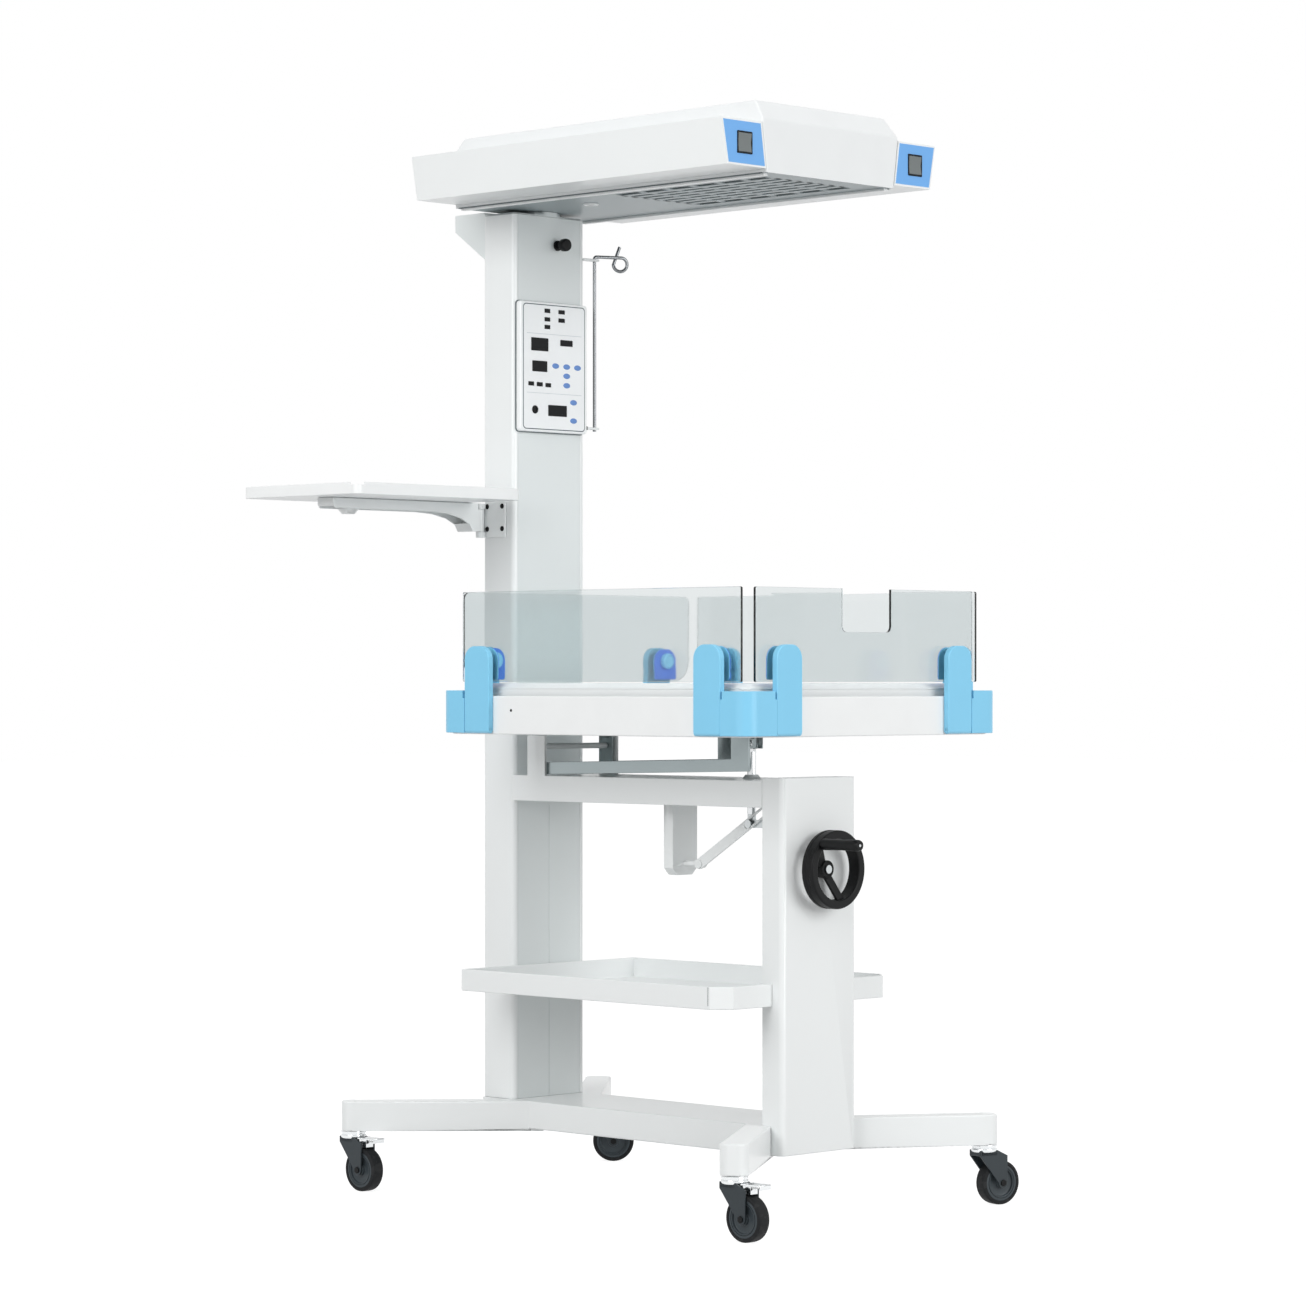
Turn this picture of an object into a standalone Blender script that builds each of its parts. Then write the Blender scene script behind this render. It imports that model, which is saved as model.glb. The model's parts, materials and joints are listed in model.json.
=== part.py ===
"""Infant radiant warmer: a wheeled stand with a tilting bed, drop-down side
panels, a swivelling overhead heater, a side tray and a drip hook.

The frame while modelling: X across (the side tray is at -X), Y from the
handwheel end to the column, Z up from the floor. The last step moves the
whole assembly so that its origin is the centre of its footprint.
"""
import math

import bmesh
import bpy
from mathutils import Matrix, Vector

# Clearances, walls and facets
GAP = 0.0003
RUN = 0.0005
OVERRUN = 0.002
SHEET = 0.003
THIN_SHEET = 0.0015
MERGE = 0.00001
ROUND_SIDES = 20
SMALL_SIDES = 12
CORNER_STEPS = 3

# Casters
WHEEL_RADIUS = 0.0375
WHEEL_WIDTH = 0.024
WHEEL_SHOULDER = 0.003
WHEEL_HUB_RADIUS = 0.025
WHEEL_RECESS = 0.003
WHEEL_BOSS_RADIUS = 0.009
WHEEL_SIDES = 28
CASTER_HEIGHT = 0.103
CASTER_TRAIL = 0.028
CASTER_HEAD_RADIUS = 0.022
CASTER_HEAD_HEIGHT = 0.010
CROWN_HEIGHT = 0.010
CROWN_LEAD = 0.018
CROWN_TAIL = 0.016
FORK_LEG_THICKNESS = 0.003
FORK_LEG_CLEARANCE = 0.0015
FORK_END_RADIUS = 0.009
AXLE_RADIUS = 0.004
AXLE_HEAD_RADIUS = 0.006
AXLE_HEAD = 0.0025
PEDAL_WIDTH = 0.026
PEDAL_LENGTH = 0.038
PEDAL_THICKNESS = 0.003
PEDAL_LIP = 0.008
PEDAL_BARREL = 0.0045
PEDAL_PIN = 0.002
PEDAL_PIVOT_DEPTH = 0.0145
PEDAL_PIVOT_TAIL = 0.028
PEDAL_SHOE_WIDTH = 0.016
PEDAL_SHOE_START = 0.004
PEDAL_SHOE_END = 0.014
PEDAL_SHOE_CLEARANCE = 0.0015
SWIVEL_ROD_RADIUS = 0.006
SWIVEL_ROD_LENGTH = 0.022

# Where the swivel axes stand, and how each caster is turned in the photo
CASTER_FRONT_X = 0.304
CASTER_FRONT_Y = -0.438
CASTER_REAR_X = 0.297
CASTER_REAR_Y = 0.473
TRAIL_HEADINGS = {
    "front_left": -90.0,
    "rear_left": -90.0,
    "front_right": -14.0,
    "rear_right": -45.0,
}

# Base frame
LEG_HEIGHT = 0.050
LEG_WIDTH = 0.046
LEG_TIP_OVERHANG = 0.020
LEG_TIP_RADIUS = 0.016
LEG_ROOT_FRONT_Y = -0.287
LEG_ROOT_REAR_Y = 0.2855
LEG_SOLID_TIP = 0.040
SPINE_WIDTH = 0.175
SPINE_DEPTH = 0.0475

# Front post
POST_WIDTH = 0.180
POST_FRONT_Y = -0.343
POST_REAR_Y = -0.297
POST_TOP = 0.720
POST_CORNER = 0.010

# Column
COLUMN_WIDTH = 0.173
COLUMN_FRONT_Y = 0.2945
COLUMN_BACK_Y = 0.3715
COLUMN_TOP = 1.6875
COLUMN_CORNER = 0.008
COLUMN_LIP = 0.011
COVER_RECESS = 0.0005
SEAM_WIDTH = 0.0015
SEAM_DEPTH = 0.001

# Cross beam, anchor block and tilt pivot
BEAM_WIDTH = 0.180
BEAM_BOTTOM = 0.671
BEAM_TOP = 0.715
COLLAR_RADIUS = 0.011
COLLAR_FOOT_RADIUS = 0.017
COLLAR_HEIGHT = 0.007
BLOCK_HALF_WIDTH = 0.030
BLOCK_REAR_Y = -0.014
BLOCK_FRONT_Y = -0.036
BLOCK_BOTTOM = 0.550
BLOCK_CHAMFER = 0.012
STUD_RADIUS = 0.005
STUD_END_Y = -0.076
STUD_TONGUE_LENGTH = 0.012
STUD_TONGUE_HEIGHT = 0.014
PIVOT_Y = 0.235
PIVOT_Z = 0.765
PIVOT_PIN_RADIUS = 0.005
CHEEK_THICKNESS = 0.006
CHEEK_FRONT_Y = 0.213
CHEEK_REAR_Y = 0.2565
CHEEK_TOP = 0.784

# Bed lift: handwheel, lead screw, nut, rod and link
HANDLE_Z = 0.570
WHEEL_PLANE_Y = -0.3725
RIM_RADIUS = 0.0645
RIM_RADIAL = 0.014
RIM_AXIAL = 0.025
RIM_ROUNDING = 0.003
HANDLE_HUB_RADIUS = 0.0145
HANDLE_HUB_LENGTH = 0.0175
SPOKE_WIDTH = 0.015
SPOKE_THICKNESS = 0.006
SPOKE_ANGLES = (288.0, 132.0)
GRIP_ANGLE = 132.0
GRIP_RADIUS = 0.0095
GRIP_LENGTH = 0.080
GRIP_PIN_RADIUS = 0.0025
SHAFT_RADIUS = 0.006
SHAFT_CAP_RADIUS = 0.007
SHAFT_CAP = 0.002
SCREW_RADIUS = 0.006
BEARING_HALF_WIDTH = 0.030
BEARING_BOTTOM = 0.598
BEARING_THICKNESS = 0.006
SCREW_COLLAR_RADIUS = 0.009
SCREW_COLLAR = 0.005
BEVEL_PITCH_RADIUS = 0.012
BEVEL_FACE = 0.005
BEVEL_CLEARANCE = 0.0004
NUT_WIDTH = 0.026
NUT_HEIGHT = 0.020
ARM_THICKNESS = 0.008
ARM_HEIGHT = 0.0134
ROD_Y = -0.190
ROD_FOOT_Z = 0.6403
ROD_TOP_Z = 0.775
ROD_RADIUS = 0.0075
ROD_FOOT_DEPTH = 0.012
ROD_FOOT_RISE = 0.016
ROD_TONGUE_DEPTH = 0.012
ROD_HEAD_THICKNESS = 0.008
LINK_PIN_RADIUS = 0.003
LINK_WIDTH = 0.018
LINK_THICKNESS = 0.004
LINK_SLOT_WIDTH = 0.0108
LINK_SLOT_BACK = 0.005
LINK_SLOT_AHEAD = 0.038
ROD_PIN_RADIUS = 0.0035
PIN_HEAD = 0.002
LIFT_TRAVEL_UP = 0.0591
LIFT_TRAVEL_DOWN = 0.0111

# Tilt frame
SIDE_PLATE = 0.004
BAR_REAR_BOTTOM = 0.7165
BAR_REAR_TOP = 0.738
BAR_FRONT_BOTTOM = 0.7296
BAR_FRONT_TOP = 0.7496
UPRIGHT_FRONT_Y = -0.2613
UPRIGHT_REAR_Y = -0.2207
LUG_FRONT_Y = 0.218
LUG_REAR_Y = 0.252
LUG_CHAMFER = 0.008
TOP_PLATE = 0.004
ROD_LUG_THICKNESS = 0.004
ROD_LUG_LENGTH = 0.036
ROD_SLOT_HEIGHT = 0.0095
ROD_SLOT_AHEAD = 0.009
ROD_SLOT_BACK = 0.0055

# Bed
BED_HALF_WIDTH = 0.309
BED_FRONT_Y = -0.4675
BED_REAR_Y = 0.2418
BED_BOTTOM = 0.789
BED_HEIGHT = 0.064
BED_CORNER = 0.028
BED_WALL = 0.010
BED_FLOOR = 0.040
FITTING_THICKNESS = 0.011
BAND_LIFT = 0.002
BAND_HEIGHT = 0.071
NOTCH_WIDTH = 0.004
NOTCH_DEPTH = 0.013
MATTRESS_RISE = 0.022
MATTRESS_CROWN = 0.004
MATTRESS_WAIST = 0.003
MATTRESS_SIDE_CLEARANCE = 0.0005
MATTRESS_EDGE = 0.006
MATTRESS_EDGE_STEPS = 2
MATTRESS_CUTS = 7
CROWN_POWER = 4

# Panel arms and panels
ARM_WIDTH = 0.059
ARM_LIFT = 0.0015
ARM_REACH_UP = 0.1455
ARM_ROUNDING = 0.023
ARM_FRONT_Y = -0.381
ARM_REAR_Y = 0.150
ARM_CROSS_X = 0.208
ARM_PIN_RADIUS = 0.002
ARM_PIN_LENGTH = 0.020
ARM_PIN_ROOT = 0.006
KNOB_DROP = 0.0235
KNOB_RADIUS = 0.014
KNOB_LENGTH = 0.013
KNOB_STUD_RADIUS = 0.003
KNOB_COLLAR_RADIUS = 0.010
KNOB_COLLAR = 0.004
PANEL_THICKNESS = 0.005
PANEL_LIFT = 0.0013
PANEL_HEIGHT = 0.1507
PANEL_INSET = 0.010
PANEL_CORNER = 0.003
REAR_UPPER_RADIUS = 0.012
REAR_LOWER_RADIUS = 0.040
SIDE_PANEL_FRONT_Y = -0.4355
SIDE_PANEL_REAR_Y = 0.2066
FRONT_PANEL_HALF = 0.2645
REAR_PANEL_HALF = 0.272
CUTOUT_HALF_WIDTH = 0.059
CUTOUT_DEPTH = 0.070
CUTOUT_RADIUS = 0.010

# Heater head
HEAD_HALF_LENGTH = 0.3686
RAIL_LIFT = 0.0057
RAIL_HEIGHT = 0.074
RAIL_OUTER_TOP = 0.260
RAIL_OUTER_BOTTOM = 0.247
RAIL_WALL = 0.0025
HOOD_HALF_BOTTOM = 0.155
HOOD_HALF_SHOULDER = 0.166
HOOD_HALF_TOP = 0.157
HOOD_SHOULDER_LIFT = 0.001
HOOD_END_RISE = 0.005
HOOD_BEVEL_RISE = 0.033
HOOD_BEVEL_RUN = 0.024
HOOD_WALL = 0.0025
CAP_THICKNESS = 0.004
CAP_INSET = 0.003
ROCKER_WIDTH = 0.030
ROCKER_HEIGHT = 0.031
ROCKER_DEPTH = 0.008
ROCKER_PROUD = 0.002
ROCKER_SIDE_CLEARANCE = 0.0003
ROCKER_END_CLEARANCE = 0.0008
GRILLE_THICKNESS = 0.003
GRILLE_FRONT_Y = -0.323
GRILLE_REAR_Y = 0.033
GRILLE_HALF_WIDTH = 0.1045
SLOT_COLUMNS = 8
SLOT_ROWS = 6
SLOT_LENGTH_SHARE = 0.78
SLOT_WIDTH_SHARE = 0.42
REFLECTOR_HALF_WIDTH = 0.108
REFLECTOR_HEIGHT = 0.070
REFLECTOR_STEPS = 10
ELEMENT_RADIUS = 0.007
ELEMENT_HEIGHT = 0.032
ELEMENT_OVERHANG = 0.012

# Head swivel and the housing behind the column top
NECK_PLATE = 0.003
NECK_BEARING_RADIUS = 0.046
NECK_BEARING_HEIGHT = 0.0083
NECK_POST_RADIUS = 0.015
NECK_POST_BORE = 0.009
NECK_POST_RISE = 0.0292
NECK_HALF_WIDTH = 0.081
NECK_REAR_Y = 0.449
NECK_REAR_BOTTOM = 1.666
NECK_FRONT_BOTTOM = 1.612
NECK_WALL = 0.003

# Lock knob on the column front
LOCK_X = 0.019
LOCK_Z = 1.639
LOCK_FLANGE_RADIUS = 0.009
LOCK_FLANGE = 0.004
LOCK_NECK_RADIUS = 0.0055
LOCK_HEAD_RADIUS = 0.0115
LOCK_HEAD_LENGTH = 0.014
LOCK_LENGTH = 0.027
LOCK_STUD_RADIUS = 0.003

# Control panel and circuit board
CONTROL_HALF_WIDTH = 0.0808
CONTROL_BOTTOM = 1.311
CONTROL_TOP = 1.537
CONTROL_THICKNESS = 0.012
CONTROL_CORNER = 0.006
BOARD_HALF_WIDTH = 0.055
BOARD_HALF_HEIGHT = 0.085
BOARD_THICKNESS = 0.0016
BOARD_STANDOFF = 0.010
BOARD_STANDOFF_RADIUS = 0.003
BOARD_STANDOFF_INSET = 0.006
TRANSFORMER_WIDTH = 0.045
TRANSFORMER_HEIGHT = 0.040
TRANSFORMER_DEPTH = 0.030

# Storage shelf
SHELF_HALF_WIDTH = 0.209
SHELF_BOTTOM = 0.348
SHELF_TOP = 0.385
SHELF_FRONT_Y = -0.320
SHELF_CUT = 0.027
SHELF_RIM = 0.004
SHELF_FLOOR = 0.003
SLIT_WIDTH = 0.0015
SLIT_INSET = 0.0035

# Side tray, its arm and bracket
HINGE_X = -0.0985
HINGE_Y = 0.366
HINGE_PIN_RADIUS = 0.003
KNUCKLE_RADIUS = 0.0075
KNUCKLE_HEIGHT = 0.010
BRACKET_BOTTOM = 1.127
BRACKET_TOP = 1.1865
BRACKET_FRONT_Y = 0.312
BRACKET_THICKNESS = 0.004
ARM_BODY_START = 0.0105
ARM_BODY_FRONT = 0.006
ARM_BODY_WIDTH = 0.040
ARM_REACH = 0.344
ARM_SLIM_HEIGHT = 0.018
ARM_DEEP_LENGTH = 0.012
ARM_CURVE_LENGTH = 0.100
ARM_WALL = 0.003
ARM_KNOB_REACH = 0.292
ARM_KNOB_RADIUS = 0.011
ARM_KNOB_FLARE = 0.019
ARM_KNOB_HEIGHT = 0.0085
TRAY_NEAR_X = -0.1207
TRAY_FAR_X = -0.497
TRAY_FRONT_Y = 0.2375
TRAY_REAR_Y = 0.530
TRAY_CORNER = 0.012
TRAY_FLOOR = 0.003
TRAY_RIM = 0.003
TRAY_RIM_HEIGHT = 0.020
TRAY_NOTCH_REACH = 0.018
TRAY_NOTCH_DEPTH = 0.0045

# Drip hook
HOOK_X = 0.1155
HOOK_Y = 0.299
HOOK_BOTTOM = 1.318
HOOK_ARM_Z = 1.627
HOOK_WIRE = 0.003
HOOK_BEND = 0.004
HOOK_REACH = 0.051
HOOK_HEADING = -24.0
HOOK_LOOP_RADIUS = 0.0118
HOOK_LOOP_SHIFT = 0.009
HOOK_TIP = 0.020
HOOK_TIP_LEAN = 0.012
HOOK_LOOP_STEPS = 18
HOOK_LUG_RISE = 0.003
HOOK_LUG_HEIGHT = 0.004
HOOK_LUG_WALL = 0.003

# Sizes that follow from the ones above
BASE_TOP = CASTER_HEIGHT + LEG_HEIGHT
SPINE_BOTTOM = BASE_TOP - SPINE_DEPTH
POST_MID_Y = (POST_FRONT_Y + POST_REAR_Y) / 2
COLUMN_MID_Y = (COLUMN_FRONT_Y + COLUMN_BACK_Y) / 2
WHEEL_AXLE_HEIGHT = WHEEL_RADIUS * math.cos(math.pi / WHEEL_SIDES)
BODY_HALF_WIDTH = BED_HALF_WIDTH - FITTING_THICKNESS - GAP
BODY_FRONT_Y = BED_FRONT_Y + FITTING_THICKNESS + GAP
BODY_REAR_Y = BED_REAR_Y - FITTING_THICKNESS - GAP
BODY_CORNER = BED_CORNER - FITTING_THICKNESS
BED_TOP = BED_BOTTOM + BED_HEIGHT
BAND_BOTTOM = BED_BOTTOM + BAND_LIFT
BAND_TOP = BAND_BOTTOM + BAND_HEIGHT
MATTRESS_TOP = BED_TOP + MATTRESS_RISE
ARM_BOTTOM = BED_BOTTOM + ARM_LIFT
ARM_TOP = ARM_BOTTOM + ARM_REACH_UP
ARM_PIVOT_Z = ARM_BOTTOM + FITTING_THICKNESS / 2
KNOB_Z = ARM_TOP - KNOB_DROP
PANEL_BOTTOM = MATTRESS_TOP + PANEL_LIFT
PANEL_TOP = PANEL_BOTTOM + PANEL_HEIGHT
CHEEK_INNER_X = BEAM_WIDTH / 2 - CHEEK_THICKNESS
FAR_UPRIGHT_SETBACK = 0.185
SIDE_PLATE_OUTER_X = CHEEK_INNER_X - RUN
GRILLE_BOTTOM = COLUMN_TOP + NECK_BEARING_HEIGHT
NECK_POST_TOP = GRILLE_BOTTOM + NECK_POST_RISE
RAIL_BOTTOM = GRILLE_BOTTOM + RAIL_LIFT
RAIL_TOP = RAIL_BOTTOM + RAIL_HEIGHT
HOOD_SHOULDER_Z = RAIL_TOP + HOOD_SHOULDER_LIFT
HOOD_BEVEL_Z = HOOD_SHOULDER_Z + HOOD_END_RISE
HOOD_TOP = HOOD_BEVEL_Z + HOOD_BEVEL_RISE
TRAY_BOTTOM = BRACKET_TOP + 2 * RUN
HOOK_LUG_LOW_Z = HOOK_BOTTOM + HOOK_LUG_RISE
HOOK_LUG_HIGH_Z = HOOK_ARM_Z - HOOK_BEND - RUN - HOOK_LUG_HEIGHT

WHITE = ((0.86, 0.88, 0.88), 0.35, 0.0)
GREY_WHITE = ((0.72, 0.76, 0.76), 0.4, 0.0)
BLUE = ((0.25, 0.58, 0.93), 0.4, 0.0)
BLACK = ((0.02, 0.02, 0.022), 0.45, 0.0)
DARK_GREY = ((0.12, 0.13, 0.14), 0.5, 0.0)
STEEL = ((0.60, 0.63, 0.64), 0.3, 1.0)
CHROME = ((0.80, 0.82, 0.83), 0.12, 1.0)
CLEAR = ((0.70, 0.75, 0.76), 0.08, 0.0)
FOAM = ((0.92, 0.93, 0.93), 0.8, 0.0)
GREEN_BOARD = ((0.05, 0.25, 0.12), 0.5, 0.0)


def clear_scene():
    for obj in list(bpy.data.objects):
        bpy.data.objects.remove(obj, do_unlink=True)


def new_collection(name):
    made = bpy.data.collections.new(name)
    bpy.context.scene.collection.children.link(made)
    return made


clear_scene()
PARTS = new_collection("infant_radiant_warmer")
CUTTERS = new_collection("cutters")
CUTTERS.hide_render = True


def empty(name, place=(0, 0, 0), turn_z=0.0, parent=None):
    """An empty that carries a moving body, with its origin on the joint axis."""
    made = bpy.data.objects.new(name, None)
    made.location = place
    made.rotation_euler = (0, 0, math.radians(turn_z))
    made.parent = parent
    PARTS.objects.link(made)
    return made


def shade(obj):
    obj.data.shade_smooth()
    obj.data.set_sharp_from_angle(angle=math.radians(35))


def object_from(name, bm, matrix=Matrix()):
    """Wrap a bmesh in an object, with all faces pointing out."""
    bmesh.ops.remove_doubles(bm, verts=bm.verts, dist=MERGE)
    bmesh.ops.recalc_face_normals(bm, faces=bm.faces)
    bm.transform(matrix)
    mesh = bpy.data.meshes.new(name)
    bm.to_mesh(mesh)
    bm.free()
    obj = bpy.data.objects.new(name, mesh)
    PARTS.objects.link(obj)
    shade(obj)
    return obj


def box(name, low, high):
    low = Vector(low)
    high = Vector(high)
    bm = bmesh.new()
    bmesh.ops.create_cube(bm, size=1)
    bmesh.ops.scale(bm, vec=high - low, verts=bm.verts)
    bmesh.ops.translate(bm, vec=(high + low) / 2, verts=bm.verts)
    return object_from(name, bm)


def bar(name, start, end, radius, end_radius=None, sides=ROUND_SIDES):
    """A cylinder or cone between two points."""
    start = Vector(start)
    end = Vector(end)
    if end_radius is None:
        end_radius = radius
    bm = bmesh.new()
    bmesh.ops.create_cone(bm, cap_ends=True, segments=sides, radius1=radius,
                          radius2=end_radius, depth=(end - start).length)
    turn = (end - start).to_track_quat("Z", "Y").to_matrix().to_4x4()
    return object_from(name, bm, Matrix.Translation((start + end) / 2) @ turn)


def mesh_of(guide, matrix):
    """Turn a curve or a profile with modifiers into a plain welded mesh object."""
    graph = bpy.context.evaluated_depsgraph_get()
    mesh = bpy.data.meshes.new_from_object(guide.evaluated_get(graph))
    name = guide.name
    bm = bmesh.new()
    bm.from_mesh(mesh)
    data = guide.data
    bpy.data.objects.remove(guide, do_unlink=True)
    bpy.data.meshes.remove(mesh)
    if isinstance(data, bpy.types.Curve):
        bpy.data.curves.remove(data)
    return object_from(name, bm, matrix)


# Frames for flat outlines: which world axes the outline's own axes follow
FLAT_XY = Matrix.Identity(4)
FLAT_XZ = Matrix(((1, 0, 0, 0), (0, 0, -1, 0), (0, 1, 0, 0), (0, 0, 0, 1)))
FLAT_YZ = Matrix(((0, 0, 1, 0), (1, 0, 0, 0), (0, 1, 0, 0), (0, 0, 0, 1)))


def plate(name, outlines, low, high, plane=FLAT_XY):
    """A flat outline, with holes if more outlines follow, from low to high along
    the normal of its plane."""
    curve = bpy.data.curves.new(name, "CURVE")
    curve.dimensions = "2D"
    curve.fill_mode = "BOTH"
    curve.extrude = (high - low) / 2
    for points in outlines:
        spline = curve.splines.new("POLY")
        spline.points.add(len(points) - 1)
        for point, (u, v) in zip(spline.points, points):
            point.co = (u, v, 0, 1)
        spline.use_cyclic_u = True
    guide = bpy.data.objects.new(name, curve)
    PARTS.objects.link(guide)
    middle = (high + low) / 2
    if plane == FLAT_XZ:
        middle = -middle
    return mesh_of(guide, plane @ Matrix.Translation((0, 0, middle)))


def arc(centre, radius, start, end, steps=CORNER_STEPS):
    """Points along an arc, with its angles in degrees."""
    turns = [math.radians(start + (end - start) * i / steps) for i in range(steps + 1)]
    return [(centre[0] + radius * math.cos(t), centre[1] + radius * math.sin(t)) for t in turns]


def rounded(u0, u1, v0, v1, radii):
    """A rectangle whose four corners, from the lower left round, have radii."""
    corners = (
        (u0, v0, 1, 1, 180),
        (u1, v0, -1, 1, 270),
        (u1, v1, -1, -1, 0),
        (u0, v1, 1, -1, 90),
    )
    points = []
    for (u, v, inward_u, inward_v, angle), radius in zip(corners, radii):
        if radius > 0:
            centre = (u + inward_u * radius, v + inward_v * radius)
            points += arc(centre, radius, angle, angle + 90)
        else:
            points.append((u, v))
    return points


def circle(centre, radius, sides=ROUND_SIDES):
    return arc(centre, radius, 0, 360 * (sides - 1) / sides, sides - 1)


def turned(name, profile, matrix, closed=False, sides=ROUND_SIDES, turn=0.0):
    """A profile of (radius, height) points, top to bottom, spun about its Z axis."""
    mesh = bpy.data.meshes.new(name)
    points = [(radius, 0, height) for radius, height in profile]
    edges = [(i, i + 1) for i in range(len(points) - 1)]
    if closed:
        edges.append((len(points) - 1, 0))
    mesh.from_pydata(points, edges, [])
    guide = bpy.data.objects.new(name, mesh)
    PARTS.objects.link(guide)
    spin = guide.modifiers.new("Spin", "SCREW")
    spin.steps = sides
    spin.render_steps = sides
    spin.use_merge_vertices = True
    spin.merge_threshold = MERGE
    return mesh_of(guide, matrix @ Matrix.Rotation(math.radians(turn), 4, "Z"))


def boolean(target, tool, operation):
    """Add a live Boolean, whose tool rides with the target."""
    step = target.modifiers.new(tool.name, "BOOLEAN")
    step.operation = operation
    step.solver = "EXACT"
    step.object = tool
    PARTS.objects.unlink(tool)
    CUTTERS.objects.link(tool)
    tool.parent = target
    tool.hide_render = True
    tool.display_type = "WIRE"
    return target


def join(target, *tools):
    for tool in tools:
        boolean(target, tool, "UNION")
    return target


def cut(target, *tools):
    for tool in tools:
        boolean(target, tool, "DIFFERENCE")
    return target


def finish(obj, look, carrier, local=False):
    """Give a piece its material and hang it on the empty that carries it."""
    colour, roughness, metallic = look
    material = bpy.data.materials.new(obj.name)
    material.use_nodes = True
    shader = material.node_tree.nodes["Principled BSDF"]
    shader.inputs["Base Color"].default_value = (*colour, 1.0)
    shader.inputs["Roughness"].default_value = roughness
    shader.inputs["Metallic"].default_value = metallic
    obj.data.materials.clear()
    obj.data.materials.append(material)
    obj.parent = carrier
    if not local:
        bpy.context.view_layer.update()
        obj.matrix_parent_inverse = carrier.matrix_world.inverted()
    return obj


# Base frame and casters

CASTERS = {
    "front_left": (-CASTER_FRONT_X, CASTER_FRONT_Y, LEG_ROOT_FRONT_Y),
    "front_right": (CASTER_FRONT_X, CASTER_FRONT_Y, LEG_ROOT_FRONT_Y),
    "rear_left": (-CASTER_REAR_X, CASTER_REAR_Y, LEG_ROOT_REAR_Y),
    "rear_right": (CASTER_REAR_X, CASTER_REAR_Y, LEG_ROOT_REAR_Y),
}
BRAKED = ("front_left", "rear_left")


def leg(place, tip, root):
    """One splayed leg, from inside the spine to past its swivel axis, and the
    pocket that makes it a tube, open below."""
    heading = math.atan2(tip[1] - root[1], tip[0] - root[0])
    length = math.hypot(tip[0] - root[0], tip[1] - root[1])
    turn = Matrix.Translation((root[0], root[1], 0)) @ Matrix.Rotation(heading, 4, "Z")
    half = LEG_WIDTH / 2
    end = length + LEG_TIP_OVERHANG
    outline = rounded(-LEG_WIDTH, end, -half, half, (0, LEG_TIP_RADIUS, LEG_TIP_RADIUS, 0))
    body = plate("leg_" + place, [outline], CASTER_HEIGHT, BASE_TOP)
    body.data.transform(turn)
    hollow = box("leg_hollow_" + place,
                 (LEG_WIDTH, -half + SHEET, CASTER_HEIGHT - OVERRUN),
                 (length - LEG_SOLID_TIP, half - SHEET, BASE_TOP - SHEET))
    hollow.data.transform(turn)
    return body, hollow


def build_base(root):
    front = POST_REAR_Y + GAP
    half = SPINE_WIDTH / 2
    frame = box("base_frame", (-half, front, SPINE_BOTTOM), (half, COLUMN_BACK_Y, BASE_TOP))
    hollows = [box("spine_hollow", (-half + SHEET, front + SHEET, SPINE_BOTTOM - OVERRUN),
                   (half - SHEET, COLUMN_BACK_Y - SHEET, BASE_TOP - SHEET))]
    legs = []
    for place, (x, y, root_y) in CASTERS.items():
        body, hollow = leg(place, (x, y), (math.copysign(half, x), root_y))
        legs.append(body)
        hollows.append(hollow)
        hollows.append(bar("stem_hole_" + place, (x, y, CASTER_HEIGHT - OVERRUN),
                           (x, y, CASTER_HEIGHT + SWIVEL_ROD_LENGTH + GAP),
                           SWIVEL_ROD_RADIUS + GAP, sides=SMALL_SIDES))
    join(frame, *legs)
    post_room = box("post_room", (-POST_WIDTH / 2 - GAP, POST_FRONT_Y - GAP, SPINE_BOTTOM - OVERRUN),
                    (POST_WIDTH / 2 + GAP, front, BASE_TOP + OVERRUN))
    cut(frame, post_room, *hollows)
    return finish(frame, WHITE, root)


def fork_side(name, side):
    """One leg of a caster fork, drawn from the side: Y trails, Z is up."""
    inner = side * (WHEEL_WIDTH / 2 + FORK_LEG_CLEARANCE)
    outer = inner + side * FORK_LEG_THICKNESS
    axle_z = WHEEL_AXLE_HEIGHT - CASTER_HEIGHT
    top = -CASTER_HEAD_HEIGHT
    outline = [(-CROWN_LEAD, top), (-CROWN_LEAD, top - CROWN_HEIGHT)]
    outline += arc((CASTER_TRAIL, axle_z), FORK_END_RADIUS, 180, 360)
    outline += [(CASTER_TRAIL + FORK_END_RADIUS, top - CROWN_HEIGHT), (CROWN_TAIL, top)]
    return plate(name, [outline], min(inner, outer), max(inner, outer), FLAT_YZ)


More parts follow.
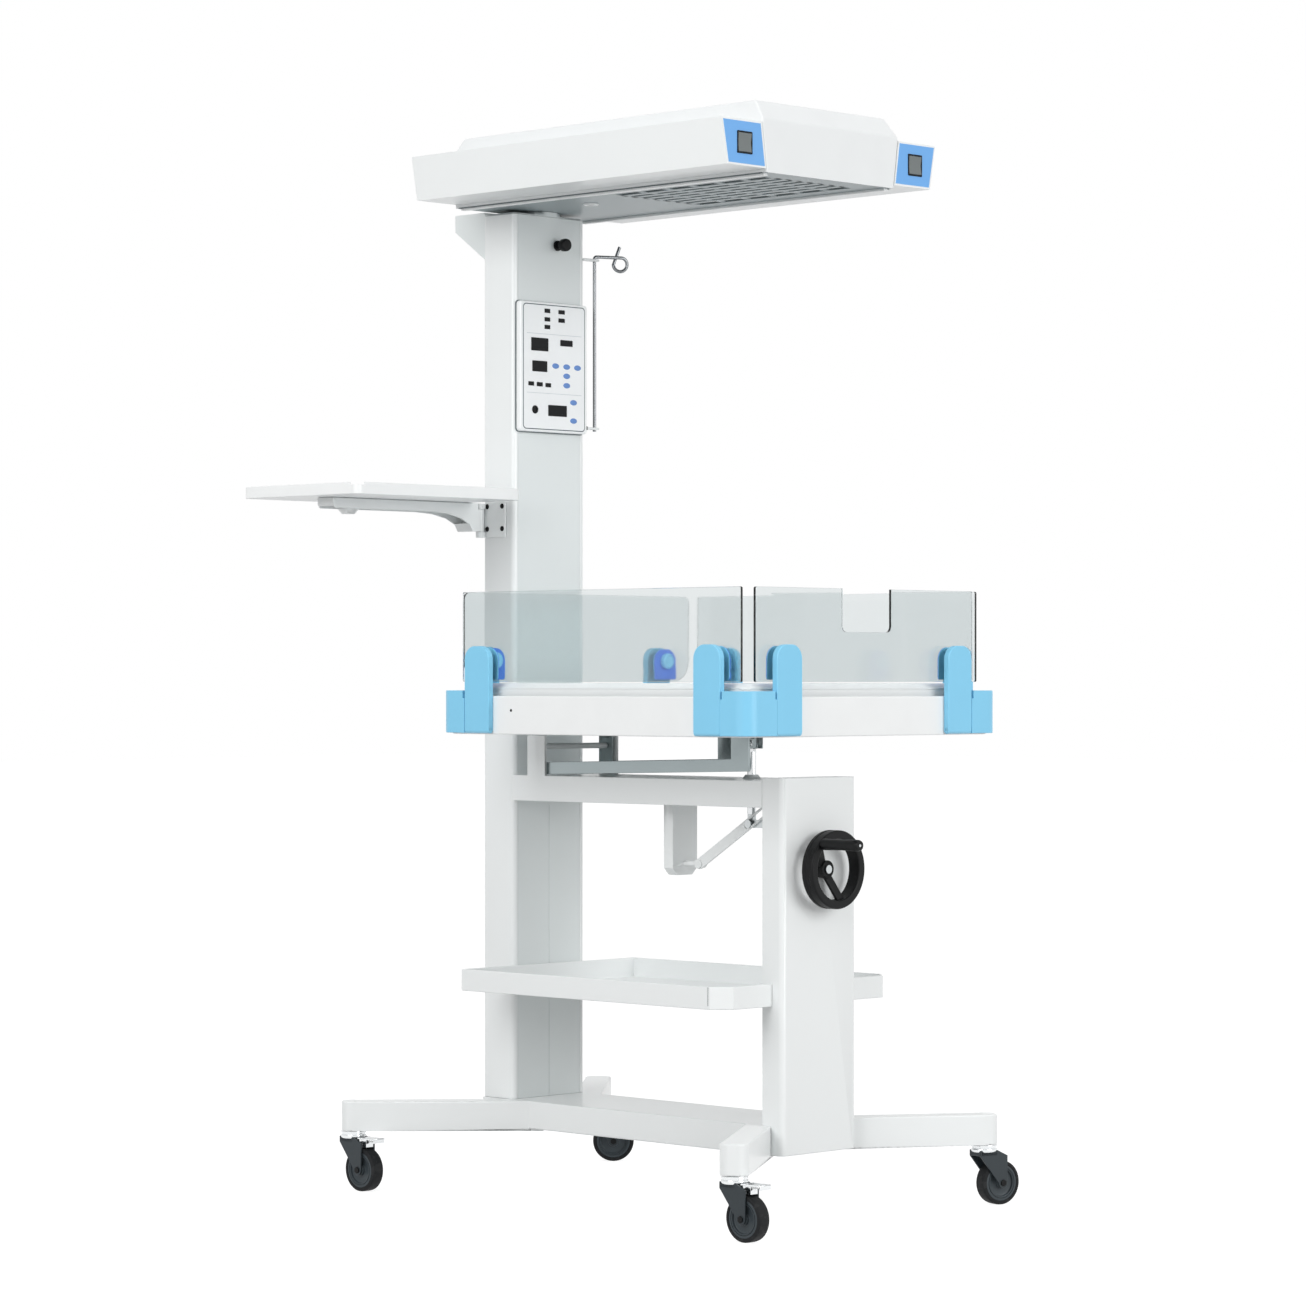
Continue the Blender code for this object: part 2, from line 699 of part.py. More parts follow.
def build_caster(place, root):
    x, y, _ = CASTERS[place]
    heading = TRAIL_HEADINGS[place]
    swivel = empty("axis_swivel_" + place, (x, y, CASTER_HEIGHT), heading - 90, root)
    axle_z = WHEEL_AXLE_HEIGHT - CASTER_HEIGHT
    half = WHEEL_WIDTH / 2 + FORK_LEG_CLEARANCE + FORK_LEG_THICKNESS
    fork = bar("caster_fork_" + place, (0, 0, -CASTER_HEAD_HEIGHT - CROWN_HEIGHT / 2),
               (0, 0, -GAP), CASTER_HEAD_RADIUS)
    crown = box("crown_" + place, (-half, -CROWN_LEAD, -CASTER_HEAD_HEIGHT - CROWN_HEIGHT),
                (half, CROWN_TAIL, -CASTER_HEAD_HEIGHT))
    stem = bar("stem_" + place, (0, 0, -CASTER_HEAD_HEIGHT / 2), (0, 0, SWIVEL_ROD_LENGTH),
               SWIVEL_ROD_RADIUS, sides=SMALL_SIDES)
    sides = [fork_side("fork_side_%s_%d" % (place, side), side) for side in (-1, 1)]
    head = half + AXLE_HEAD
    axle = bar("axle_" + place, (-half, CASTER_TRAIL, axle_z), (half, CASTER_TRAIL, axle_z),
               AXLE_RADIUS, sides=SMALL_SIDES)
    heads = [bar("axle_head_%s_%d" % (place, side), (side * half, CASTER_TRAIL, axle_z),
                 (side * head, CASTER_TRAIL, axle_z), AXLE_HEAD_RADIUS, sides=SMALL_SIDES)
             for side in (-1, 1)]
    join(fork, crown, stem, *sides, axle, *heads)
    if place in BRAKED:
        pin = bar("pedal_pin_" + place, (-half, PEDAL_PIVOT_TAIL, -PEDAL_PIVOT_DEPTH),
                  (half, PEDAL_PIVOT_TAIL, -PEDAL_PIVOT_DEPTH), PEDAL_PIN, sides=SMALL_SIDES)
        ears = [box("pedal_ear_%s_%d" % (place, side),
                    (min(side * half, side * (half - FORK_LEG_THICKNESS)), 0,
                     -CASTER_HEAD_HEIGHT - CROWN_HEIGHT),
                    (max(side * half, side * (half - FORK_LEG_THICKNESS)),
                     PEDAL_PIVOT_TAIL + PEDAL_BARREL, -CASTER_HEAD_HEIGHT))
                for side in (-1, 1)]
        join(fork, pin, *ears)
    finish(fork, DARK_GREY, swivel, local=True)
    build_wheel(place, swivel, axle_z)
    if place in BRAKED:
        build_pedal(place, swivel)


def build_wheel(place, swivel, axle_z):
    spin = empty("axis_wheel_" + place, (0, CASTER_TRAIL, axle_z), 0.0, swivel)
    half = WHEEL_WIDTH / 2
    bore = AXLE_RADIUS + GAP
    recess = half - WHEEL_RECESS
    profile = [
        (bore, half),
        (WHEEL_BOSS_RADIUS, half),
        (WHEEL_BOSS_RADIUS, recess),
        (WHEEL_HUB_RADIUS, recess),
        (WHEEL_HUB_RADIUS, half),
        (WHEEL_RADIUS - WHEEL_SHOULDER, half),
        (WHEEL_RADIUS, half - WHEEL_SHOULDER),
    ]
    profile += [(radius, -height) for radius, height in reversed(profile)]
    wheel = turned("caster_wheel_" + place, profile, Matrix.Rotation(math.radians(90), 4, "Y"),
                   closed=True, sides=WHEEL_SIDES, turn=180 / WHEEL_SIDES)
    finish(wheel, BLACK, spin, local=True)


def build_pedal(place, swivel):
    """The brake pedal turns on a pin behind the fork crown."""
    hinge = empty("axis_pedal_" + place, (0, PEDAL_PIVOT_TAIL, -PEDAL_PIVOT_DEPTH), 0.0, swivel)
    half = PEDAL_WIDTH / 2
    barrel = bar("brake_pedal_" + place, (-half, 0, 0), (half, 0, 0), PEDAL_BARREL)
    tread_half = half - RUN
    tread = box("pedal_tread_" + place, (-tread_half, PEDAL_PIN + GAP, PEDAL_BARREL - PEDAL_THICKNESS),
                (tread_half, PEDAL_LENGTH, PEDAL_BARREL - GAP))
    lip = box("pedal_lip_" + place,
              (-tread_half + RUN, PEDAL_LENGTH - PEDAL_THICKNESS, PEDAL_BARREL - PEDAL_LIP),
              (tread_half - RUN, PEDAL_LENGTH + RUN, PEDAL_BARREL - PEDAL_THICKNESS / 2))
    hole = bar("pedal_hole_" + place, (-half - OVERRUN, 0, 0), (half + OVERRUN, 0, 0),
               PEDAL_PIN + GAP, sides=SMALL_SIDES)
    wheel_top = WHEEL_AXLE_HEIGHT + WHEEL_RADIUS - CASTER_HEIGHT + PEDAL_PIVOT_DEPTH
    shoe = box("pedal_shoe_" + place,
               (-PEDAL_SHOE_WIDTH / 2, PEDAL_SHOE_START, wheel_top + PEDAL_SHOE_CLEARANCE),
               (PEDAL_SHOE_WIDTH / 2, PEDAL_SHOE_END, PEDAL_BARREL - PEDAL_THICKNESS / 2))
    join(barrel, tread, lip, shoe)
    cut(barrel, hole)
    finish(barrel, CHROME, hinge, local=True)


# Post, beam and column

def build_post(root):
    half = POST_WIDTH / 2
    radii = (POST_CORNER, POST_CORNER, 0, 0)
    post = plate("front_post", [rounded(-half, half, POST_FRONT_Y, POST_REAR_Y, radii)],
                 SPINE_BOTTOM, POST_TOP)
    radii = (POST_CORNER - SHEET, POST_CORNER - SHEET, 0, 0)
    hollow = plate("post_hollow", [rounded(-half + SHEET, half - SHEET, POST_FRONT_Y + SHEET,
                                           POST_REAR_Y - SHEET, radii)],
                   SPINE_BOTTOM - OVERRUN, POST_TOP - SHEET)
    bearing = box("screw_bearing", (-BEARING_HALF_WIDTH, POST_FRONT_Y + SHEET / 2, BEARING_BOTTOM),
                  (BEARING_HALF_WIDTH, POST_REAR_Y - SHEET / 2, BEARING_BOTTOM + BEARING_THICKNESS))
    screw_hole = bar("screw_hole", (0, POST_MID_Y, BEARING_BOTTOM - OVERRUN),
                     (0, POST_MID_Y, BEARING_BOTTOM + BEARING_THICKNESS + OVERRUN),
                     SCREW_RADIUS + GAP)
    shaft_hole = bar("shaft_hole", (0, POST_FRONT_Y - OVERRUN, HANDLE_Z),
                     (0, POST_FRONT_Y + SHEET + OVERRUN, HANDLE_Z), SHAFT_RADIUS + GAP)
    slot_half = ARM_THICKNESS / 2 + RUN
    reach = ARM_HEIGHT / 2 + RUN
    arm_slot = box("arm_slot",
                   (-slot_half, POST_REAR_Y - SHEET - OVERRUN,
                    ROD_FOOT_Z - LIFT_TRAVEL_DOWN - reach),
                   (slot_half, POST_REAR_Y + OVERRUN, ROD_FOOT_Z + LIFT_TRAVEL_UP + reach))
    cut(post, hollow)
    join(post, bearing)
    cut(post, shaft_hole, screw_hole, arm_slot)
    finish(post, WHITE, root)


def link_pin(name, y, z):
    """A pin through the tilt link, from the middle plane to its head."""
    reach = ARM_THICKNESS / 2 + GAP + LINK_THICKNESS + GAP + PIN_HEAD
    pin = bar("link_pin_" + name, (-reach, y, z), (0, y, z), LINK_PIN_RADIUS, sides=SMALL_SIDES)
    head = bar("link_pin_head_" + name, (-reach, y, z), (-reach + PIN_HEAD, y, z),
               LINK_WIDTH / 2 - OVERRUN)
    return pin, head


def build_beam(root):
    """The channel between post and column, open below, with the anchor block that
    hangs in it, the guide collar of the lift rod and the two pivot cheeks."""
    half = BEAM_WIDTH / 2
    front = POST_REAR_Y + GAP
    rear = COLUMN_FRONT_Y - GAP
    beam = box("cross_beam", (-half, front, BEAM_BOTTOM), (half, rear, BEAM_TOP))
    hollow = box("beam_hollow", (-half + SHEET, front - OVERRUN, BEAM_BOTTOM - OVERRUN),
                 (half - SHEET, rear + OVERRUN, BEAM_TOP - SHEET))
    cut(beam, hollow)
    collar = bar("rod_collar", (0, ROD_Y, BEAM_TOP - SHEET / 2), (0, ROD_Y, BEAM_TOP + COLLAR_HEIGHT),
                 COLLAR_FOOT_RADIUS, COLLAR_RADIUS)
    side = BLOCK_HALF_WIDTH
    outline = [
        (-side + BLOCK_CHAMFER, BLOCK_BOTTOM),
        (side - BLOCK_CHAMFER, BLOCK_BOTTOM),
        (side, BLOCK_BOTTOM + BLOCK_CHAMFER),
        (side, BEAM_TOP - SHEET / 2),
        (-side, BEAM_TOP - SHEET / 2),
        (-side, BLOCK_BOTTOM + BLOCK_CHAMFER),
    ]
    block = plate("anchor_block", [outline], BLOCK_FRONT_Y, BLOCK_REAR_Y, FLAT_XZ)
    tongue_y = STUD_END_Y + STUD_TONGUE_LENGTH
    stud = bar("anchor_stud", (0, (BLOCK_FRONT_Y + BLOCK_REAR_Y) / 2, HANDLE_Z),
               (0, tongue_y, HANDLE_Z), STUD_RADIUS, sides=SMALL_SIDES)
    tongue = box("stud_tongue",
                 (-ARM_THICKNESS / 2, STUD_END_Y, HANDLE_Z - STUD_TONGUE_HEIGHT / 2),
                 (ARM_THICKNESS / 2, tongue_y + OVERRUN, HANDLE_Z + STUD_TONGUE_HEIGHT / 2))
    eye = bar("stud_eye", (-ARM_THICKNESS / 2, STUD_END_Y, HANDLE_Z),
              (ARM_THICKNESS / 2, STUD_END_Y, HANDLE_Z), STUD_TONGUE_HEIGHT / 2)
    pin, pin_head = link_pin("low", STUD_END_Y, HANDLE_Z)
    cheeks = [box("cheek_%d" % side, (min(side * half, side * CHEEK_INNER_X), CHEEK_FRONT_Y,
                                      BEAM_TOP - SHEET / 2),
                  (max(side * half, side * CHEEK_INNER_X), CHEEK_REAR_Y, CHEEK_TOP))
              for side in (-1, 1)]
    pivot = bar("tilt_pin", (-half, PIVOT_Y, PIVOT_Z), (half, PIVOT_Y, PIVOT_Z), PIVOT_PIN_RADIUS)
    join(beam, collar, block, stud, tongue, eye, pin, pin_head, *cheeks, pivot)
    rod_hole = bar("rod_hole", (0, ROD_Y, BEAM_BOTTOM), (0, ROD_Y, BEAM_TOP + COLLAR_HEIGHT + OVERRUN),
                   ROD_RADIUS + GAP)
    cut(beam, rod_hole)
    finish(beam, WHITE, root)


def column_outline():
    """A C-shaped profile, open at the front between its two lips."""
    half = COLUMN_WIDTH / 2
    front = COLUMN_FRONT_Y
    back = COLUMN_BACK_Y
    radius = COLUMN_CORNER
    lip = half - COLUMN_LIP
    inner = half - SHEET
    points = [(-lip, front)]
    points += arc((-half + radius, front + radius), radius, 270, 180)
    points += arc((-half + radius, back - radius), radius, 180, 90)
    points += arc((half - radius, back - radius), radius, 90, 0)
    points += arc((half - radius, front + radius), radius, 360, 270)
    points += [(lip, front), (lip, front + SHEET), (inner - SHEET, front + SHEET)]
    points += [(inner, front + 2 * SHEET), (inner, back - 2 * SHEET), (inner - SHEET, back - SHEET)]
    points += [(-inner + SHEET, back - SHEET), (-inner, back - 2 * SHEET), (-inner, front + 2 * SHEET)]
    points += [(-inner + SHEET, front + SHEET), (-lip, front + SHEET)]
    return points


def build_column(root):
    half = COLUMN_WIDTH / 2
    column = plate("column", [column_outline()], BASE_TOP + GAP, COLUMN_TOP)
    lug_end = HOOK_X + HOOK_WIRE + HOOK_LUG_WALL
    lug_side = HOOK_WIRE + HOOK_LUG_WALL
    for index, z in enumerate((HOOK_LUG_LOW_Z, HOOK_LUG_HIGH_Z)):
        lug = box("hook_lug_%d" % index, (half - SHEET / 2, HOOK_Y - lug_side, z),
                  (lug_end, HOOK_Y + lug_side, z + HOOK_LUG_HEIGHT))
        join(column, lug)
    hole = bar("hook_hole", (HOOK_X, HOOK_Y, HOOK_LUG_LOW_Z - OVERRUN),
               (HOOK_X, HOOK_Y, HOOK_LUG_HIGH_Z + HOOK_LUG_HEIGHT + OVERRUN),
               HOOK_WIRE + GAP, sides=SMALL_SIDES)
    cut(column, hole)
    finish(column, WHITE, root)


def build_column_cover(root):
    half = COLUMN_WIDTH / 2 - COLUMN_LIP - GAP
    face = COLUMN_FRONT_Y + COVER_RECESS
    cover = box("column_front_cover", (-half, face, BASE_TOP + GAP), (half, face + SHEET, COLUMN_TOP))
    seam = box("cover_seam", (-SEAM_WIDTH / 2, face - OVERRUN, BASE_TOP + GAP - OVERRUN),
               (SEAM_WIDTH / 2, face + SEAM_DEPTH, BEAM_BOTTOM))
    hole = bar("lock_hole", (LOCK_X, face - OVERRUN, LOCK_Z), (LOCK_X, face + SHEET + OVERRUN, LOCK_Z),
               LOCK_STUD_RADIUS + GAP, sides=SMALL_SIDES)
    cut(cover, seam, hole)
    finish(cover, GREY_WHITE, root)


# Handwheel and bed lift

def build_spoke(angle, start_y, reach):
    """A flat spoke that leans forward from the hub to the middle of the rim."""
    forward = WHEEL_PLANE_Y - start_y
    spoke = box("spoke_%d" % angle, (0, -SPOKE_THICKNESS / 2, -SPOKE_WIDTH / 2),
                (math.hypot(reach, forward), SPOKE_THICKNESS / 2, SPOKE_WIDTH / 2))
    lean = Matrix.Rotation(math.atan2(forward, reach), 4, "Z")
    turn = Matrix.Rotation(math.radians(-angle), 4, "Y")
    spoke.data.transform(Matrix.Translation((0, start_y, HANDLE_Z)) @ turn @ lean)
    return spoke


def build_handwheel(root):
    hub = empty("axis_handwheel", (0, WHEEL_PLANE_Y, HANDLE_Z), 0.0, root)
    lie = Matrix.Translation((0, WHEEL_PLANE_Y, HANDLE_Z)) @ Matrix.Rotation(math.radians(90), 4, "X")
    inner = RIM_RADIUS - RIM_RADIAL
    outline = rounded(inner, RIM_RADIUS, -RIM_AXIAL / 2, RIM_AXIAL / 2, (RIM_ROUNDING,) * 4)
    rim = turned("handwheel", outline, lie, closed=True, sides=2 * SMALL_SIDES)
    middle = RIM_RADIUS - RIM_RADIAL / 2
    hub_back = POST_FRONT_Y - RUN
    hub_front = hub_back - HANDLE_HUB_LENGTH
    core = bar("wheel_hub", (0, hub_back, HANDLE_Z), (0, hub_front, HANDLE_Z), HANDLE_HUB_RADIUS)
    spokes = [build_spoke(angle, (hub_back + hub_front) / 2, middle) for angle in SPOKE_ANGLES]
    grip_x = middle * math.cos(math.radians(GRIP_ANGLE))
    grip_z = HANDLE_Z + middle * math.sin(math.radians(GRIP_ANGLE))
    rim_face = WHEEL_PLANE_Y - RIM_AXIAL / 2
    grip_end = rim_face - RUN - GRIP_LENGTH
    pin = bar("grip_pin", (grip_x, WHEEL_PLANE_Y, grip_z), (grip_x, grip_end, grip_z),
              GRIP_PIN_RADIUS, sides=SMALL_SIDES)
    join(rim, core, *spokes, pin)
    cut(rim, bar("hub_bore", (0, hub_back + OVERRUN, HANDLE_Z), (0, hub_front - OVERRUN, HANDLE_Z),
                 SHAFT_RADIUS + GAP))
    finish(rim, BLACK, hub)
    spin = empty("axis_grip", (grip_x, rim_face, grip_z), 0.0, root)
    grip = bar("handwheel_grip", (grip_x, rim_face - RUN, grip_z), (grip_x, grip_end, grip_z),
               GRIP_RADIUS)
    cut(grip, bar("grip_bore", (grip_x, rim_face + OVERRUN, grip_z),
                  (grip_x, grip_end - OVERRUN, grip_z), GRIP_PIN_RADIUS + GAP, sides=SMALL_SIDES))
    finish(grip, BLACK, spin)
    build_shaft(hub, hub_front)


def build_shaft(hub, hub_front):
    """The shaft carries a bevel gear inside the post and a cap on the hub."""
    gear_back = POST_MID_Y - BEVEL_PITCH_RADIUS - BEVEL_CLEARANCE
    gear_front = gear_back + BEVEL_FACE
    shaft = bar("handwheel_shaft", (0, hub_front - GAP - SHAFT_CAP / 2, HANDLE_Z),
                (0, gear_back + BEVEL_FACE / 2, HANDLE_Z), SHAFT_RADIUS)
    gear = bar("shaft_gear", (0, gear_back, HANDLE_Z), (0, gear_front, HANDLE_Z),
               BEVEL_PITCH_RADIUS, BEVEL_PITCH_RADIUS - BEVEL_FACE)
    cap = bar("shaft_cap", (0, hub_front - GAP - SHAFT_CAP, HANDLE_Z), (0, hub_front - GAP, HANDLE_Z),
              SHAFT_CAP_RADIUS)
    join(shaft, gear, cap)
    finish(shaft, STEEL, hub)


def build_lead_screw(root):
    axis = empty("axis_lead_screw", (0, POST_MID_Y, HANDLE_Z), 0.0, root)
    gear_low = HANDLE_Z + BEVEL_PITCH_RADIUS + BEVEL_CLEARANCE
    screw = bar("lead_screw", (0, POST_MID_Y, gear_low - BEVEL_FACE / 2),
                (0, POST_MID_Y, POST_TOP - SHEET - GAP), SCREW_RADIUS)
    gear = bar("screw_gear", (0, POST_MID_Y, gear_low - BEVEL_FACE), (0, POST_MID_Y, gear_low),
               BEVEL_PITCH_RADIUS - BEVEL_FACE, BEVEL_PITCH_RADIUS)
    collar_low = BEARING_BOTTOM + BEARING_THICKNESS + GAP
    collar = bar("screw_collar", (0, POST_MID_Y, collar_low),
                 (0, POST_MID_Y, collar_low + SCREW_COLLAR), SCREW_COLLAR_RADIUS)
    join(screw, gear, collar)
    finish(screw, STEEL, axis)


def build_lift(root):
    """The nut rides on the lead screw; its arm carries the foot of the rod."""
    axis = empty("axis_lift", (0, ROD_Y, ROD_FOOT_Z), 0.0, root)
    half = NUT_WIDTH / 2
    nut = box("lift_nut", (-half, POST_MID_Y - half, ROD_FOOT_Z - NUT_HEIGHT / 2),
              (half, POST_MID_Y + half, ROD_FOOT_Z + NUT_HEIGHT / 2))
    arm = box("lift_arm", (-ARM_THICKNESS / 2, POST_MID_Y + half / 2, ROD_FOOT_Z - ARM_HEIGHT / 2),
              (ARM_THICKNESS / 2, ROD_Y, ROD_FOOT_Z + ARM_HEIGHT / 2))
    foot = box("rod_foot", (-ARM_THICKNESS / 2, ROD_Y - ROD_FOOT_DEPTH / 2, ROD_FOOT_Z - ARM_HEIGHT / 2),
               (ARM_THICKNESS / 2, ROD_Y + ROD_FOOT_DEPTH / 2, ROD_FOOT_Z + ROD_FOOT_RISE))
    pin, pin_head = link_pin("high", ROD_Y, ROD_FOOT_Z)
    join(nut, arm, foot, pin, pin_head)
    cut(nut, bar("nut_bore", (0, POST_MID_Y, ROD_FOOT_Z - NUT_HEIGHT),
                 (0, POST_MID_Y, ROD_FOOT_Z + NUT_HEIGHT), SCREW_RADIUS + GAP))
    finish(nut, STEEL, axis)
    shoulder = ROD_TOP_Z - 2 * ROD_RADIUS
    rod = bar("push_rod", (0, ROD_Y, ROD_FOOT_Z + ROD_FOOT_RISE + GAP), (0, ROD_Y, shoulder),
              ROD_RADIUS)
    half = ROD_HEAD_THICKNESS / 2
    tongue = box("rod_tongue", (-half, ROD_Y - ROD_TONGUE_DEPTH / 2, shoulder - OVERRUN),
                 (half, ROD_Y + ROD_TONGUE_DEPTH / 2, ROD_TOP_Z))
    head = bar("rod_head", (-half, ROD_Y, ROD_TOP_Z), (half, ROD_Y, ROD_TOP_Z),
               ROD_TONGUE_DEPTH / 2)
    reach = half + RUN + ROD_LUG_THICKNESS + RUN
    pin = bar("rod_pin", (-reach, ROD_Y, ROD_TOP_Z), (reach, ROD_Y, ROD_TOP_Z), ROD_PIN_RADIUS,
              sides=SMALL_SIDES)
    join(rod, tongue, head, pin)
    finish(rod, CHROME, axis)


def build_link(root):
    """A flat bar from the anchor stud to the rod foot, slotted at its upper end."""
    axis = empty("axis_link", (0, STUD_END_Y, HANDLE_Z), 0.0, root)
    rise = math.atan2(ROD_FOOT_Z - HANDLE_Z, STUD_END_Y - ROD_Y)
    length = math.hypot(ROD_FOOT_Z - HANDLE_Z, STUD_END_Y - ROD_Y)
    half = LINK_WIDTH / 2
    slot_half = LINK_SLOT_WIDTH / 2
    slot_start = length - LINK_SLOT_BACK
    slot_end = length + LINK_SLOT_AHEAD
    outline = arc((0, 0), half, 90, 270, 2 * CORNER_STEPS)
    outline += arc((slot_end, 0), half, -90, 90, 2 * CORNER_STEPS)
    slot = arc((slot_start, 0), slot_half, 90, 270, 2 * CORNER_STEPS)
    slot += arc((slot_end, 0), slot_half, -90, 90, 2 * CORNER_STEPS)
    hole = circle((0, 0), LINK_PIN_RADIUS + GAP, SMALL_SIDES)
    inner = -ARM_THICKNESS / 2 - GAP
    link = plate("tilt_link", [outline, slot, hole], inner - LINK_THICKNESS, inner, FLAT_YZ)
    turn = Matrix.Rotation(math.pi - rise, 4, "X")
    link.data.transform(Matrix.Translation((0, STUD_END_Y, HANDLE_Z)) @ turn)
    finish(link, GREY_WHITE, axis)


# Tilt frame and bed

def side_plate_outline(top, setback):
    """A side plate with its front upright set back; its bar keeps its slope."""
    front_y = UPRIGHT_FRONT_Y + setback
    rear_y = UPRIGHT_REAR_Y + setback
    under_share = (LUG_REAR_Y - front_y) / (LUG_REAR_Y - UPRIGHT_FRONT_Y)
    over_share = (LUG_FRONT_Y - rear_y) / (LUG_FRONT_Y - UPRIGHT_REAR_Y)
    under = BAR_REAR_BOTTOM + under_share * (BAR_FRONT_BOTTOM - BAR_REAR_BOTTOM)
    over = BAR_REAR_TOP + over_share * (BAR_FRONT_TOP - BAR_REAR_TOP)
    return [
        (LUG_REAR_Y - LUG_CHAMFER, BAR_REAR_BOTTOM),
        (LUG_REAR_Y, BAR_REAR_BOTTOM + LUG_CHAMFER),
        (LUG_REAR_Y, top),
        (LUG_FRONT_Y, top),
        (LUG_FRONT_Y, BAR_REAR_TOP),
        (rear_y, over),
        (rear_y, top),
        (front_y, top),
        (front_y, under),
    ]


def build_tilt_frame(bed):
    top = BED_BOTTOM - GAP
    outer = SIDE_PLATE_OUTER_X
    hole = circle((PIVOT_Y, PIVOT_Z), PIVOT_PIN_RADIUS + GAP)
    frame = plate("tilt_frame", [side_plate_outline(top, 0.0), hole], -outer, -outer + SIDE_PLATE,
                  FLAT_YZ)
    right = plate("side_plate_right", [side_plate_outline(top, FAR_UPRIGHT_SETBACK), hole],
                  outer - SIDE_PLATE, outer, FLAT_YZ)
    bed_plate = box("bed_plate", (-outer, UPRIGHT_FRONT_Y, top - TOP_PLATE), (outer, LUG_REAR_Y, top))
    join(frame, right, bed_plate)
    inner = ROD_HEAD_THICKNESS / 2 + RUN
    drop = ROD_TOP_Z - ROD_SLOT_HEIGHT
    for side in (-1, 1):
        lug = box("rod_lug_%d" % side,
                  (min(side * inner, side * (inner + ROD_LUG_THICKNESS)),
                   ROD_Y - ROD_LUG_LENGTH / 2, drop),
                  (max(side * inner, side * (inner + ROD_LUG_THICKNESS)),
                   ROD_Y + ROD_LUG_LENGTH / 2, top - TOP_PLATE / 2))
        join(frame, lug)
    slot = box("rod_slot", (-2 * inner - ROD_LUG_THICKNESS, ROD_Y - ROD_SLOT_AHEAD,
                            ROD_TOP_Z - ROD_SLOT_HEIGHT / 2),
               (2 * inner + ROD_LUG_THICKNESS, ROD_Y + ROD_SLOT_BACK, ROD_TOP_Z + ROD_SLOT_HEIGHT / 2))
    cut(frame, slot)
    finish(frame, STEEL, bed)


def build_bed_tray(bed):
    radii = (BODY_CORNER,) * 4
    tray = plate("bed_tray", [rounded(-BODY_HALF_WIDTH, BODY_HALF_WIDTH, BODY_FRONT_Y, BODY_REAR_Y, radii)],
                 BED_BOTTOM, BED_TOP)
    radii = (BODY_CORNER - BED_WALL / 2,) * 4
    inner = BODY_HALF_WIDTH - BED_WALL
    recess = plate("bed_recess", [rounded(-inner, inner, BODY_FRONT_Y + BED_WALL,
                                          BODY_REAR_Y - BED_WALL, radii)],
                   BED_BOTTOM + BED_FLOOR, BED_TOP + OVERRUN)
    under = plate("bed_underside", [rounded(-inner, inner, BODY_FRONT_Y + BED_WALL,
                                            BODY_REAR_Y - BED_WALL, radii)],
                  BED_BOTTOM + SHEET, BED_BOTTOM + BED_FLOOR - SHEET)
    vent = bar("bed_vent", (0, (BODY_FRONT_Y + BODY_REAR_Y) / 2, BED_BOTTOM + SHEET / 2),
               (0, (BODY_FRONT_Y + BODY_REAR_Y) / 2, BED_BOTTOM + BED_FLOOR + OVERRUN), BED_WALL)
    cut(tray, recess, under, vent)
    finish(tray, WHITE, bed)


def edge_line(share, half, edge):
    """Move the outermost grid line of a cage so that it lies one edge in."""
    inner = 1 - 2 / (MATTRESS_CUTS + 1)
    size = abs(share)
    if size <= inner:
        place = size / inner * (half - edge)
    else:
        place = half - edge + (size - inner) / (1 - inner) * edge
    return math.copysign(place, share)


def build_mattress(bed):
    """A foam pad with a crowned top and drawn-in sides, from a coarse cage."""
    half_x = BODY_HALF_WIDTH - BED_WALL - MATTRESS_SIDE_CLEARANCE
    front = BODY_FRONT_Y + BED_WALL + MATTRESS_SIDE_CLEARANCE
    rear = BODY_REAR_Y - BED_WALL - MATTRESS_SIDE_CLEARANCE
    low = BED_BOTTOM + BED_FLOOR + GAP
    half_y = (rear - front) / 2
    half_z = (MATTRESS_TOP - low) / 2
    bm = bmesh.new()
    bmesh.ops.create_cube(bm, size=2)
    bmesh.ops.subdivide_edges(bm, edges=bm.edges, cuts=MATTRESS_CUTS, use_grid_fill=True)
    for vert in bm.verts:
        across, along, up = vert.co
        waist = MATTRESS_WAIST * (1 - up * up)
        crown = (1 - across ** CROWN_POWER) * (1 - along ** CROWN_POWER)
        drop = MATTRESS_CROWN * (1 - crown) * (1 + up) / 2
        x = edge_line(across, half_x - waist, BODY_CORNER)
        y = edge_line(along, half_y - waist, BODY_CORNER)
        if abs(across) == 1 and abs(along) == 1:
            pull = BODY_CORNER * (1 - math.sqrt(0.5))
            x -= math.copysign(pull, x)
            y -= math.copysign(pull, y)
        vert.co = (x, y, edge_line(up, half_z, MATTRESS_EDGE) - drop)
    bmesh.ops.translate(bm, vec=(0, (front + rear) / 2, low + half_z), verts=bm.verts)
    pad = object_from("mattress", bm)
    edges = pad.modifiers.new("Rounded edges", "BEVEL")
    edges.width = MATTRESS_EDGE
    edges.segments = MATTRESS_EDGE_STEPS
    edges.limit_method = "ANGLE"
    edges.angle_limit = math.radians(60)
    finish(pad, FOAM, bed)


